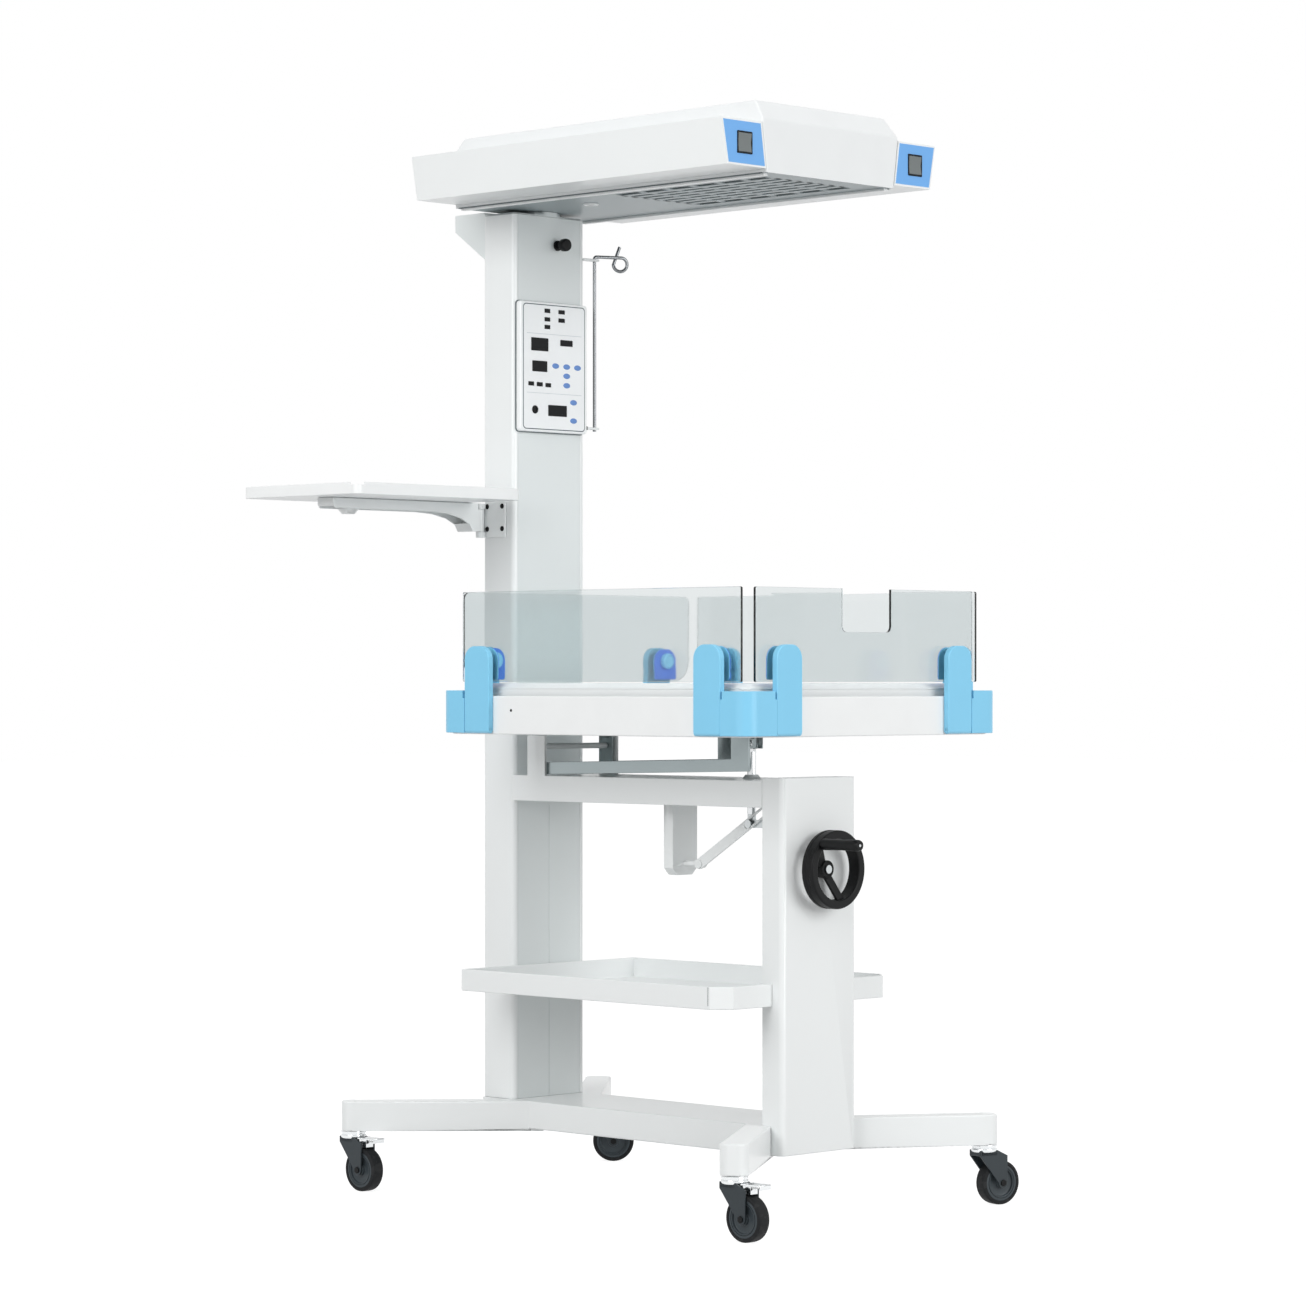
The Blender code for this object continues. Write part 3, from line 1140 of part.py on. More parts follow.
def build_corner_band(place, side_x, side_y, bed):
    """The blue fitting that wraps one bed corner, between the two panel arms."""
    arm_y = ARM_FRONT_Y if side_y < 0 else ARM_REAR_Y
    end_x = ARM_CROSS_X + ARM_WIDTH / 2 + GAP
    edge_y = BED_FRONT_Y if side_y < 0 else BED_REAR_Y
    end_y = arm_y + side_y * (ARM_WIDTH / 2 + GAP)
    outer = BED_HALF_WIDTH
    wall = FITTING_THICKNESS
    centre = (outer - BED_CORNER, edge_y - side_y * BED_CORNER)
    outline = [(outer - wall, end_y), (outer, end_y)]
    outline += arc(centre, BED_CORNER, 0, side_y * 90)
    outline += [(end_x, edge_y), (end_x, edge_y - side_y * wall)]
    outline += arc(centre, BED_CORNER - wall, side_y * 90, 0)
    outline = [(side_x * u, v) for u, v in outline]
    band = plate("bed_corner_" + place, [outline], BAND_BOTTOM, BAND_TOP)
    notch_x = box("notch_x_" + place,
                  (min(side_x * (end_x - OVERRUN), side_x * (end_x + NOTCH_WIDTH)),
                   min(edge_y - side_y * 2 * wall, edge_y + side_y * wall), BAND_TOP - NOTCH_DEPTH),
                  (max(side_x * (end_x - OVERRUN), side_x * (end_x + NOTCH_WIDTH)),
                   max(edge_y - side_y * 2 * wall, edge_y + side_y * wall), BAND_TOP + OVERRUN))
    notch_y = box("notch_y_" + place,
                  (min(side_x * (outer - 2 * wall), side_x * (outer + wall)),
                   min(end_y - side_y * OVERRUN, end_y + side_y * NOTCH_WIDTH), BAND_TOP - NOTCH_DEPTH),
                  (max(side_x * (outer - 2 * wall), side_x * (outer + wall)),
                   max(end_y - side_y * OVERRUN, end_y + side_y * NOTCH_WIDTH), BAND_TOP + OVERRUN))
    axis_x = side_x * (outer - wall / 2)
    axis_y = edge_y - side_y * wall / 2
    pin_x = bar("arm_pin_x_" + place, (side_x * (end_x + ARM_PIN_ROOT), axis_y, ARM_PIVOT_Z),
                (side_x * (end_x - ARM_PIN_LENGTH), axis_y, ARM_PIVOT_Z), ARM_PIN_RADIUS,
                sides=SMALL_SIDES)
    pin_y = bar("arm_pin_y_" + place, (axis_x, end_y + side_y * ARM_PIN_ROOT, ARM_PIVOT_Z),
                (axis_x, end_y - side_y * ARM_PIN_LENGTH, ARM_PIVOT_Z), ARM_PIN_RADIUS,
                sides=SMALL_SIDES)
    cut(band, notch_x, notch_y)
    join(band, pin_x, pin_y)
    finish(band, BLUE, bed)


# Panels and their arms. Each is drawn facing +Y at the outer plane, then turned
# to its side of the bed.

def side_frame(place):
    """Matrix that takes (along, outward, up) to the frame of one side."""
    turns = {
        "rear": (0.0, (0, BED_REAR_Y, 0)),
        "front": (180.0, (0, BED_FRONT_Y, 0)),
        "left": (90.0, (-BED_HALF_WIDTH, 0, 0)),
        "right": (-90.0, (BED_HALF_WIDTH, 0, 0)),
    }
    angle, offset = turns[place]
    return Matrix.Translation(offset) @ Matrix.Rotation(math.radians(angle), 4, "Z")


ARM_PLACES = {
    "rear": {"left": -ARM_CROSS_X, "right": ARM_CROSS_X},
    "front": {"left": ARM_CROSS_X, "right": -ARM_CROSS_X},
    "left": {"front": ARM_FRONT_Y, "rear": ARM_REAR_Y},
    "right": {"front": -ARM_FRONT_Y, "rear": -ARM_REAR_Y},
}
PANEL_SPANS = {
    "rear": (-REAR_PANEL_HALF, REAR_PANEL_HALF),
    "front": (-FRONT_PANEL_HALF, FRONT_PANEL_HALF),
    "left": (SIDE_PANEL_FRONT_Y, SIDE_PANEL_REAR_Y),
    "right": (-SIDE_PANEL_REAR_Y, -SIDE_PANEL_FRONT_Y),
}


def build_arm(name, along, frame, carrier):
    half = ARM_WIDTH / 2
    radii = (0, 0, ARM_ROUNDING, ARM_ROUNDING)
    outline = rounded(along - half, along + half, ARM_PIVOT_Z, ARM_TOP, radii)
    arm = plate(name, [outline], -FITTING_THICKNESS, 0, FLAT_XZ)
    pivot = (-FITTING_THICKNESS / 2, ARM_PIVOT_Z)
    foot = bar(name + "_foot", (along - half, pivot[0], pivot[1]), (along + half, pivot[0], pivot[1]),
               FITTING_THICKNESS / 2)
    panel_front = -FITTING_THICKNESS - PANEL_INSET
    panel_back = panel_front - GAP - PANEL_THICKNESS - GAP
    spacer = bar(name + "_spacer", (along, -FITTING_THICKNESS / 2, KNOB_Z),
                 (along, panel_front, KNOB_Z), KNOB_COLLAR_RADIUS)
    stud = bar(name + "_stud", (along, -FITTING_THICKNESS / 2, KNOB_Z), (along, panel_back, KNOB_Z),
               KNOB_STUD_RADIUS, sides=SMALL_SIDES)
    collar = bar(name + "_collar", (along, panel_back, KNOB_Z),
                 (along, panel_back - KNOB_COLLAR, KNOB_Z), KNOB_COLLAR_RADIUS)
    knob = bar(name + "_knob", (along, panel_back - KNOB_COLLAR, KNOB_Z),
               (along, panel_back - KNOB_LENGTH, KNOB_Z), KNOB_RADIUS)
    edge = along + math.copysign(half, along)
    depth = edge - math.copysign(ARM_PIN_LENGTH + GAP, along)
    hole = bar(name + "_pin_hole", (edge + math.copysign(OVERRUN, along), pivot[0], pivot[1]),
               (depth, pivot[0], pivot[1]), ARM_PIN_RADIUS + GAP, sides=SMALL_SIDES)
    join(arm, foot, spacer, stud, collar, knob)
    cut(arm, hole)
    for piece in (arm, foot, spacer, stud, collar, knob, hole):
        piece.data.transform(frame)
    finish(arm, BLUE, carrier)


def panel_outline(place):
    start, end = PANEL_SPANS[place]
    radii = (PANEL_CORNER,) * 4
    if place == "rear":
        radii = (REAR_LOWER_RADIUS, REAR_LOWER_RADIUS, REAR_UPPER_RADIUS, REAR_UPPER_RADIUS)
    points = rounded(start, end, PANEL_BOTTOM, PANEL_TOP, radii)
    if place == "front":
        middle = (start + end) / 2
        floor = PANEL_TOP - CUTOUT_DEPTH
        left = middle - CUTOUT_HALF_WIDTH
        right = middle + CUTOUT_HALF_WIDTH
        radius = CUTOUT_RADIUS
        notch = [(right, PANEL_TOP)]
        notch += arc((right - radius, floor + radius), radius, 0, -90)
        notch += arc((left + radius, floor + radius), radius, 270, 180)
        notch += [(left, PANEL_TOP)]
        last_upper_right = 3 * (CORNER_STEPS + 1)
        points = points[:last_upper_right] + notch + points[last_upper_right:]
    return points


def build_panel_side(place, bed):
    frame = side_frame(place)
    middle = frame @ Vector((0, -FITTING_THICKNESS / 2, ARM_PIVOT_Z))
    carrier = empty("axis_panel_" + place, middle, 0.0, bed)
    carrier.matrix_parent_inverse = bed.matrix_world.inverted()
    holes = [circle((along, KNOB_Z), KNOB_STUD_RADIUS + GAP, SMALL_SIDES)
             for along in ARM_PLACES[place].values()]
    outer = -FITTING_THICKNESS - PANEL_INSET - GAP
    panel = plate("panel_" + place, [panel_outline(place)] + holes,
                  outer - PANEL_THICKNESS, outer, FLAT_XZ)
    panel.data.transform(frame)
    finish(panel, CLEAR, carrier)
    for end_name, along in ARM_PLACES[place].items():
        build_arm("panel_arm_%s_%s" % (place, end_name), along, frame, carrier)


def build_bed(root):
    bed = empty("axis_bed_tilt", (0, PIVOT_Y, PIVOT_Z), 0.0, root)
    bpy.context.view_layer.update()
    build_tilt_frame(bed)
    build_bed_tray(bed)
    build_mattress(bed)
    for side_x, name_x in ((-1, "left"), (1, "right")):
        for side_y, name_y in ((-1, "front"), (1, "rear")):
            build_corner_band(name_y + "_" + name_x, side_x, side_y, bed)
    for place in ("front", "rear", "left", "right"):
        build_panel_side(place, bed)


# Heater head

def hood_half_at(z):
    """Half the width of the hood at a height below its shoulder."""
    share = (z - GRILLE_BOTTOM) / (HOOD_SHOULDER_Z - GRILLE_BOTTOM)
    return HOOD_HALF_BOTTOM + (HOOD_HALF_SHOULDER - HOOD_HALF_BOTTOM) * share


def rail_outline(side, inset=0.0):
    """The slanted four-sided section of one rail, in X and Z."""
    points = [
        (hood_half_at(RAIL_BOTTOM) + GAP + inset, RAIL_BOTTOM + inset),
        (RAIL_OUTER_BOTTOM - inset, RAIL_BOTTOM + inset),
        (RAIL_OUTER_TOP - inset, RAIL_TOP - inset),
        (hood_half_at(RAIL_TOP) + GAP + inset, RAIL_TOP - inset),
    ]
    return [(side * x, z) for x, z in points]


def build_rail(name, side, head):
    front = -HEAD_HALF_LENGTH + CAP_THICKNESS + GAP
    rail = plate("heater_rail_" + name, [rail_outline(side)], front, HEAD_HALF_LENGTH, FLAT_XZ)
    hollow = plate("rail_hollow_" + name, [rail_outline(side, RAIL_WALL)],
                   front - OVERRUN, HEAD_HALF_LENGTH - RAIL_WALL, FLAT_XZ)
    cut(rail, hollow)
    finish(rail, WHITE, head)
    corners = rail_outline(side)
    middle_x = sum(x for x, z in corners) / len(corners)
    middle_z = (RAIL_BOTTOM + RAIL_TOP) / 2
    half_x = ROCKER_WIDTH / 2
    half_z = ROCKER_HEIGHT / 2
    opening = [(middle_x - half_x - ROCKER_SIDE_CLEARANCE, middle_z - half_z - ROCKER_END_CLEARANCE),
               (middle_x + half_x + ROCKER_SIDE_CLEARANCE, middle_z - half_z - ROCKER_END_CLEARANCE),
               (middle_x + half_x + ROCKER_SIDE_CLEARANCE, middle_z + half_z + ROCKER_END_CLEARANCE),
               (middle_x - half_x - ROCKER_SIDE_CLEARANCE, middle_z + half_z + ROCKER_END_CLEARANCE)]
    cap = plate("rail_end_cap_" + name, [rail_outline(side, CAP_INSET), opening],
                -HEAD_HALF_LENGTH, -HEAD_HALF_LENGTH + CAP_THICKNESS, FLAT_XZ)
    finish(cap, BLUE, head)
    pivot_y = -HEAD_HALF_LENGTH + CAP_THICKNESS / 2
    pivot = empty("axis_switch_" + name, (middle_x, pivot_y, middle_z), 0.0, head)
    pivot.matrix_parent_inverse = head.matrix_world.inverted()
    rocker = box("rocker_switch_" + name,
                 (middle_x - half_x, -HEAD_HALF_LENGTH - ROCKER_PROUD, middle_z - half_z),
                 (middle_x + half_x, -HEAD_HALF_LENGTH - ROCKER_PROUD + ROCKER_DEPTH, middle_z + half_z))
    finish(rocker, DARK_GREY, pivot)


def hood_outline(inset=0.0):
    half_bottom = HOOD_HALF_BOTTOM - inset
    half_shoulder = HOOD_HALF_SHOULDER - inset
    half_top = HOOD_HALF_TOP - inset
    return [
        (-half_bottom, GRILLE_BOTTOM - inset),
        (half_bottom, GRILLE_BOTTOM - inset),
        (half_shoulder, HOOD_SHOULDER_Z - inset),
        (half_top, HOOD_TOP - inset),
        (-half_top, HOOD_TOP - inset),
        (-half_shoulder, HOOD_SHOULDER_Z - inset),
    ]


def build_hood(head):
    """The middle box of the head, open below, with a bevel along its front and
    rear top edges."""
    hood = plate("heater_hood", [hood_outline()], -HEAD_HALF_LENGTH, HEAD_HALF_LENGTH, FLAT_XZ)
    hollow = plate("hood_hollow", [hood_outline(HOOD_WALL)], -HEAD_HALF_LENGTH + HOOD_WALL,
                   HEAD_HALF_LENGTH - HOOD_WALL, FLAT_XZ)
    cut(hood, hollow)
    return hood


def bevel_cutter(name, side):
    """A wedge that takes the top edge off one end of the hood."""
    end = side * HEAD_HALF_LENGTH
    outline = [
        (end, HOOD_BEVEL_Z),
        (end - side * HOOD_BEVEL_RUN, HOOD_TOP),
        (end - side * HOOD_BEVEL_RUN, HOOD_TOP + OVERRUN),
        (end + side * OVERRUN, HOOD_TOP + OVERRUN),
        (end + side * OVERRUN, HOOD_BEVEL_Z),
    ]
    half = HOOD_HALF_SHOULDER + OVERRUN
    return plate(name, [outline], -half, half, FLAT_YZ)


def build_grille(head):
    half = HOOD_HALF_BOTTOM - HOOD_WALL - GAP
    edge = HEAD_HALF_LENGTH - HOOD_WALL - GAP
    outlines = [rounded(-half, half, -edge, edge, (0, 0, 0, 0))]
    step_x = 2 * GRILLE_HALF_WIDTH / SLOT_COLUMNS
    step_y = (GRILLE_REAR_Y - GRILLE_FRONT_Y) / SLOT_ROWS
    for column in range(SLOT_COLUMNS):
        for row in range(SLOT_ROWS):
            x = -GRILLE_HALF_WIDTH + step_x * (column + 0.5)
            y = GRILLE_FRONT_Y + step_y * (row + 0.5)
            half_x = step_x * SLOT_WIDTH_SHARE / 2
            half_y = step_y * SLOT_LENGTH_SHARE / 2
            outlines.append([(x - half_x, y - half_y), (x + half_x, y - half_y),
                             (x + half_x, y + half_y), (x - half_x, y + half_y)])
    outlines.append(circle((0, COLUMN_MID_Y), NECK_POST_RADIUS + GAP))
    low = GRILLE_BOTTOM + GAP
    grille = plate("heater_grille", outlines, low, low + GRILLE_THICKNESS)
    finish(grille, GREY_WHITE, head)


def build_heater(head):
    """The reflector is a bent sheet over the heating rod, with end plates that
    hold the rod."""
    base = GRILLE_BOTTOM + GAP + GRILLE_THICKNESS + GAP
    front = GRILLE_FRONT_Y
    rear = GRILLE_REAR_Y
    outer = []
    inner = []
    for step in range(REFLECTOR_STEPS + 1):
        angle = math.pi * step / REFLECTOR_STEPS
        outer.append((REFLECTOR_HALF_WIDTH * math.cos(angle), base + REFLECTOR_HEIGHT * math.sin(angle)))
        inner.append(((REFLECTOR_HALF_WIDTH - THIN_SHEET) * math.cos(angle),
                      base + (REFLECTOR_HEIGHT - THIN_SHEET) * math.sin(angle)))
    trough = plate("reflector", [outer + inner[::-1]], front, rear, FLAT_XZ)
    rod_z = base + ELEMENT_HEIGHT
    for index, y in enumerate((front, rear - THIN_SHEET)):
        join(trough, plate("reflector_end_%d" % index, [outer], y, y + THIN_SHEET, FLAT_XZ))
    holes = bar("element_hole", (0, front - OVERRUN, rod_z), (0, rear + OVERRUN, rod_z),
                ELEMENT_RADIUS + GAP)
    cut(trough, holes)
    finish(trough, STEEL, head)
    element = bar("heating_element", (0, front - ELEMENT_OVERHANG, rod_z),
                  (0, rear + ELEMENT_OVERHANG, rod_z), ELEMENT_RADIUS)
    finish(element, DARK_GREY, head)


def build_head(root):
    head = empty("axis_heater_swivel", (0, COLUMN_MID_Y, COLUMN_TOP), 0.0, root)
    bpy.context.view_layer.update()
    hood = build_hood(head)
    cut(hood, bevel_cutter("hood_bevel_front", -1), bevel_cutter("hood_bevel_rear", 1))
    finish(hood, WHITE, head)
    build_rail("left", -1, head)
    build_rail("right", 1, head)
    build_grille(head)
    build_heater(head)


def build_neck(root):
    """The casting on the column top: bearing disc, hollow pivot post and the
    housing behind the column."""
    low = COLUMN_TOP + GAP
    top = GRILLE_BOTTOM - GAP
    half = NECK_HALF_WIDTH
    front = COLUMN_FRONT_Y + SHEET + COVER_RECESS
    back = COLUMN_BACK_Y + GAP
    neck = box("swivel_neck", (-half, front, low), (half, back + NECK_WALL, low + NECK_PLATE))
    housing_outline = [(back, NECK_FRONT_BOTTOM), (NECK_REAR_Y, NECK_REAR_BOTTOM),
                       (NECK_REAR_Y, top), (back, top)]
    housing = plate("neck_housing", [housing_outline], -half, half, FLAT_YZ)
    wall = NECK_WALL
    hollow_outline = [(back - OVERRUN, NECK_FRONT_BOTTOM + 2 * wall),
                      (back + wall, NECK_FRONT_BOTTOM + 2 * wall),
                      (NECK_REAR_Y - wall, NECK_REAR_BOTTOM + wall),
                      (NECK_REAR_Y - wall, top - wall), (back + wall, top - wall),
                      (back + wall, low - wall), (back - OVERRUN, low - wall)]
    hollow = plate("neck_hollow", [hollow_outline], -half + wall, half - wall, FLAT_YZ)
    disc = bar("neck_bearing", (0, COLUMN_MID_Y, low), (0, COLUMN_MID_Y, top), NECK_BEARING_RADIUS,
               sides=2 * SMALL_SIDES)
    post = bar("neck_post", (0, COLUMN_MID_Y, low), (0, COLUMN_MID_Y, NECK_POST_TOP), NECK_POST_RADIUS)
    bore = bar("neck_bore", (0, COLUMN_MID_Y, low - OVERRUN),
               (0, COLUMN_MID_Y, NECK_POST_TOP + OVERRUN), NECK_POST_BORE)
    join(neck, housing, disc, post)
    cut(neck, hollow, bore)
    finish(neck, GREY_WHITE, root)


def build_lock_knob(root):
    face = COLUMN_FRONT_Y + COVER_RECESS - GAP
    axis = empty("axis_lock_knob", (LOCK_X, face, LOCK_Z), 0.0, root)
    front = face - LOCK_LENGTH
    knob = bar("swivel_lock_knob", (LOCK_X, face, LOCK_Z), (LOCK_X, face - LOCK_FLANGE, LOCK_Z),
               LOCK_FLANGE_RADIUS)
    neck = bar("lock_neck", (LOCK_X, face - LOCK_FLANGE / 2, LOCK_Z),
               (LOCK_X, front + LOCK_HEAD_LENGTH / 2, LOCK_Z), LOCK_NECK_RADIUS)
    head = bar("lock_head", (LOCK_X, front, LOCK_Z), (LOCK_X, front + LOCK_HEAD_LENGTH, LOCK_Z),
               LOCK_HEAD_RADIUS)
    stud = bar("lock_stud", (LOCK_X, face - LOCK_FLANGE / 2, LOCK_Z),
               (LOCK_X, face + GAP + SHEET + LOCK_FLANGE, LOCK_Z), LOCK_STUD_RADIUS, sides=SMALL_SIDES)
    join(knob, neck, head, stud)
    finish(knob, BLACK, axis)


# Control panel, board, shelf, tray and hook

def build_control_panel(root):
    back = COLUMN_FRONT_Y - GAP
    radii = (CONTROL_CORNER,) * 4
    panel = plate("control_panel", [rounded(-CONTROL_HALF_WIDTH, CONTROL_HALF_WIDTH, CONTROL_BOTTOM,
                                            CONTROL_TOP, radii)],
                  back - CONTROL_THICKNESS, back, FLAT_XZ)
    finish(panel, WHITE, root)
    inside = COLUMN_FRONT_Y + COVER_RECESS + SHEET + GAP
    middle = (CONTROL_BOTTOM + CONTROL_TOP) / 2
    face = inside + BOARD_STANDOFF
    board = box("controller_board", (-BOARD_HALF_WIDTH, face, middle - BOARD_HALF_HEIGHT),
                (BOARD_HALF_WIDTH, face + BOARD_THICKNESS, middle + BOARD_HALF_HEIGHT))
    block = box("transformer", (-TRANSFORMER_WIDTH / 2, face + BOARD_THICKNESS / 2,
                                middle - TRANSFORMER_HEIGHT / 2),
                (TRANSFORMER_WIDTH / 2, face + TRANSFORMER_DEPTH, middle + TRANSFORMER_HEIGHT / 2))
    join(board, block)
    for side_x in (-1, 1):
        for side_z in (-1, 1):
            x = side_x * (BOARD_HALF_WIDTH - BOARD_STANDOFF_INSET)
            z = middle + side_z * (BOARD_HALF_HEIGHT - BOARD_STANDOFF_INSET)
            join(board, bar("standoff_%d_%d" % (side_x, side_z), (x, inside, z),
                            (x, face + BOARD_THICKNESS / 2, z), BOARD_STANDOFF_RADIUS, sides=SMALL_SIDES))
    finish(board, GREEN_BOARD, root)


def shelf_outline(inset):
    half = SHELF_HALF_WIDTH - inset
    front = SHELF_FRONT_Y + inset
    rear = COLUMN_FRONT_Y - GAP - inset
    chamfer = SHELF_CUT - inset * (2 - math.sqrt(2))
    notch = POST_WIDTH / 2 + RUN + inset
    notch_y = POST_REAR_Y + GAP + inset
    return [
        (-half + chamfer, front), (-notch, front), (-notch, notch_y), (notch, notch_y), (notch, front),
        (half - chamfer, front), (half, front + chamfer), (half, rear), (-half, rear),
        (-half, front + chamfer),
    ]


def build_shelf(root):
    shelf = plate("storage_shelf", [shelf_outline(0.0)], SHELF_BOTTOM, SHELF_TOP)
    recess = plate("shelf_recess", [shelf_outline(SHELF_RIM)], SHELF_BOTTOM + SHELF_FLOOR,
                   SHELF_TOP + OVERRUN)
    slit_y = SHELF_FRONT_Y + SHELF_CUT + SLIT_INSET
    slit = box("shelf_slit", (-SHELF_HALF_WIDTH - OVERRUN, slit_y, SHELF_BOTTOM + 2 * SHELF_FLOOR),
               (-SHELF_HALF_WIDTH + SHELF_RIM + OVERRUN, slit_y + SLIT_WIDTH, SHELF_TOP + OVERRUN))
    cut(shelf, recess, slit)
    finish(shelf, WHITE, root)


def build_tray_bracket(root):
    face = -COLUMN_WIDTH / 2 - GAP
    outer = face - BRACKET_THICKNESS
    bracket = box("tray_bracket", (outer, BRACKET_FRONT_Y, BRACKET_BOTTOM), (face, HINGE_Y, BRACKET_TOP))
    for index, low in enumerate((BRACKET_BOTTOM, BRACKET_TOP - KNUCKLE_HEIGHT)):
        knuckle = bar("knuckle_%d" % index, (HINGE_X, HINGE_Y, low),
                      (HINGE_X, HINGE_Y, low + KNUCKLE_HEIGHT), KNUCKLE_RADIUS)
        web = box("knuckle_web_%d" % index, (HINGE_X, HINGE_Y - KNUCKLE_RADIUS, low),
                  (face, HINGE_Y, low + KNUCKLE_HEIGHT))
        join(bracket, knuckle, web)
    pin = bar("tray_pin", (HINGE_X, HINGE_Y, BRACKET_BOTTOM), (HINGE_X, HINGE_Y, BRACKET_TOP),
              HINGE_PIN_RADIUS, sides=SMALL_SIDES)
    join(bracket, pin)
    finish(bracket, WHITE, root)


def build_tray_arm(root):
    swing = empty("axis_tray_swing", (HINGE_X, HINGE_Y, BRACKET_BOTTOM), 0.0, root)
    low = BRACKET_BOTTOM + KNUCKLE_HEIGHT + RUN
    high = BRACKET_TOP - KNUCKLE_HEIGHT - RUN
    top = BRACKET_TOP + RUN
    start = HINGE_X - ARM_BODY_START
    end = HINGE_X - ARM_REACH
    slim = top - ARM_SLIM_HEIGHT
    deep_end = start - ARM_DEEP_LENGTH
    outline = [(start, low), (start, top), (end, top), (end, slim + ARM_SLIM_HEIGHT / 3),
               (end + ARM_SLIM_HEIGHT / 3, slim)]
    outline += [(deep_end - ARM_CURVE_LENGTH * (1 - math.sin(t)), slim + (low - slim) * (1 - math.cos(t)))
                for t in (0.0, math.pi / 8, math.pi / 4, 3 * math.pi / 8, math.pi / 2)]
    front = HINGE_Y - ARM_BODY_FRONT
    rear = front + ARM_BODY_WIDTH
    arm = plate("tray_arm", [outline], front, rear, FLAT_XZ)
    wall = ARM_WALL
    hollow = box("arm_hollow", (end + wall, front + wall, slim - ARM_SLIM_HEIGHT),
                 (start - wall, rear - wall, top - wall))
    barrel = bar("arm_barrel", (HINGE_X, HINGE_Y, low), (HINGE_X, HINGE_Y, high), KNUCKLE_RADIUS)
    web = box("arm_web", (start - wall, front, low), (HINGE_X, front + KNUCKLE_RADIUS, high))
    knob_x = HINGE_X - ARM_KNOB_REACH
    middle = (front + rear) / 2
    knob = bar("arm_knob", (knob_x, middle, slim - ARM_KNOB_HEIGHT), (knob_x, middle, top - wall / 2),
               ARM_KNOB_RADIUS)
    flare = bar("arm_knob_flare", (knob_x, middle, slim - ARM_KNOB_HEIGHT), (knob_x, middle, slim + RUN),
                ARM_KNOB_RADIUS, ARM_KNOB_FLARE)
    hole = bar("barrel_hole", (HINGE_X, HINGE_Y, low - OVERRUN), (HINGE_X, HINGE_Y, high + OVERRUN),
               HINGE_PIN_RADIUS + GAP, sides=SMALL_SIDES)
    cut(arm, hollow)
    join(arm, barrel, web, knob, flare)
    cut(arm, hole)
    finish(arm, WHITE, swing)
    build_tray(swing)


def build_tray(swing):
    low = TRAY_BOTTOM
    high = low + TRAY_RIM_HEIGHT
    radii = (TRAY_CORNER,) * 4
    tray = plate("side_tray", [rounded(TRAY_FAR_X, TRAY_NEAR_X, TRAY_FRONT_Y, TRAY_REAR_Y, radii)],
                 low, high)
    radii = (TRAY_CORNER - TRAY_RIM,) * 4
    recess = plate("tray_recess", [rounded(TRAY_FAR_X + TRAY_RIM, TRAY_NEAR_X - TRAY_RIM,
                                           TRAY_FRONT_Y + TRAY_RIM, TRAY_REAR_Y - TRAY_RIM, radii)],
                   low + TRAY_FLOOR, high + OVERRUN)
    notch = box("tray_notch",
                (TRAY_FAR_X - OVERRUN, TRAY_FRONT_Y - OVERRUN, high - TRAY_NOTCH_DEPTH),
                (TRAY_FAR_X + TRAY_NOTCH_REACH, TRAY_FRONT_Y + TRAY_NOTCH_REACH, high + OVERRUN))
    cut(tray, recess, notch)
    finish(tray, WHITE, swing)


def hook_route():
    """Centre line of the hook wire: upright, arm, loop and tip."""
    across = Vector((math.cos(math.radians(HOOK_HEADING)), math.sin(math.radians(HOOK_HEADING)), 0))
    aside = Vector((-across.y, across.x, 0))
    up = Vector((0, 0, 1))
    corner = Vector((HOOK_X, HOOK_Y, HOOK_ARM_Z))
    route = [Vector((corner.x, corner.y, HOOK_BOTTOM))]
    route.append(corner - up * 3 * HOOK_BEND)
    centre = corner + across * HOOK_BEND - up * HOOK_BEND
    for step in range(CORNER_STEPS + 1):
        angle = math.pi - math.pi / 2 * step / CORNER_STEPS
        route.append(centre + across * HOOK_BEND * math.cos(angle) + up * HOOK_BEND * math.sin(angle))
    hub = corner + across * HOOK_REACH - up * HOOK_LOOP_RADIUS
    for step in range(HOOK_LOOP_STEPS + 1):
        share = step / HOOK_LOOP_STEPS
        angle = math.pi / 2 - 1.5 * math.pi * share
        route.append(hub + across * HOOK_LOOP_RADIUS * math.cos(angle)
                     + up * HOOK_LOOP_RADIUS * math.sin(angle) + aside * HOOK_LOOP_SHIFT * share)
    route.append(route[-1] + up * (HOOK_LOOP_RADIUS + HOOK_TIP) + across * HOOK_TIP_LEAN)
    return route


def build_hook(root):
    swivel = empty("axis_drip_hook", (HOOK_X, HOOK_Y, HOOK_BOTTOM), 0.0, root)
    curve = bpy.data.curves.new("drip_hook", "CURVE")
    curve.dimensions = "3D"
    curve.bevel_depth = HOOK_WIRE
    curve.bevel_resolution = 2
    curve.use_fill_caps = True
    route = hook_route()
    spline = curve.splines.new("POLY")
    spline.points.add(len(route) - 1)
    for point, place in zip(spline.points, route):
        point.co = (*place, 1)
    guide = bpy.data.objects.new("drip_hook", curve)
    PARTS.objects.link(guide)
    hook = mesh_of(guide, Matrix())
    finish(hook, CHROME, swivel)


def stand_on_origin(root):
    """Move the assembly so that the origin is the bottom centre of its bounds."""
    bpy.context.view_layer.update()
    graph = bpy.context.evaluated_depsgraph_get()
    low = [math.inf] * 3
    high = [-math.inf] * 3
    for obj in PARTS.objects:
        if obj.type != "MESH":
            continue
        shape = obj.evaluated_get(graph)
        for vert in shape.data.vertices:
            place = shape.matrix_world @ vert.co
            low = [min(a, b) for a, b in zip(low, place)]
            high = [max(a, b) for a, b in zip(high, place)]
    root.location = (-(low[0] + high[0]) / 2, -(low[1] + high[1]) / 2, -low[2])
    bpy.context.view_layer.update()


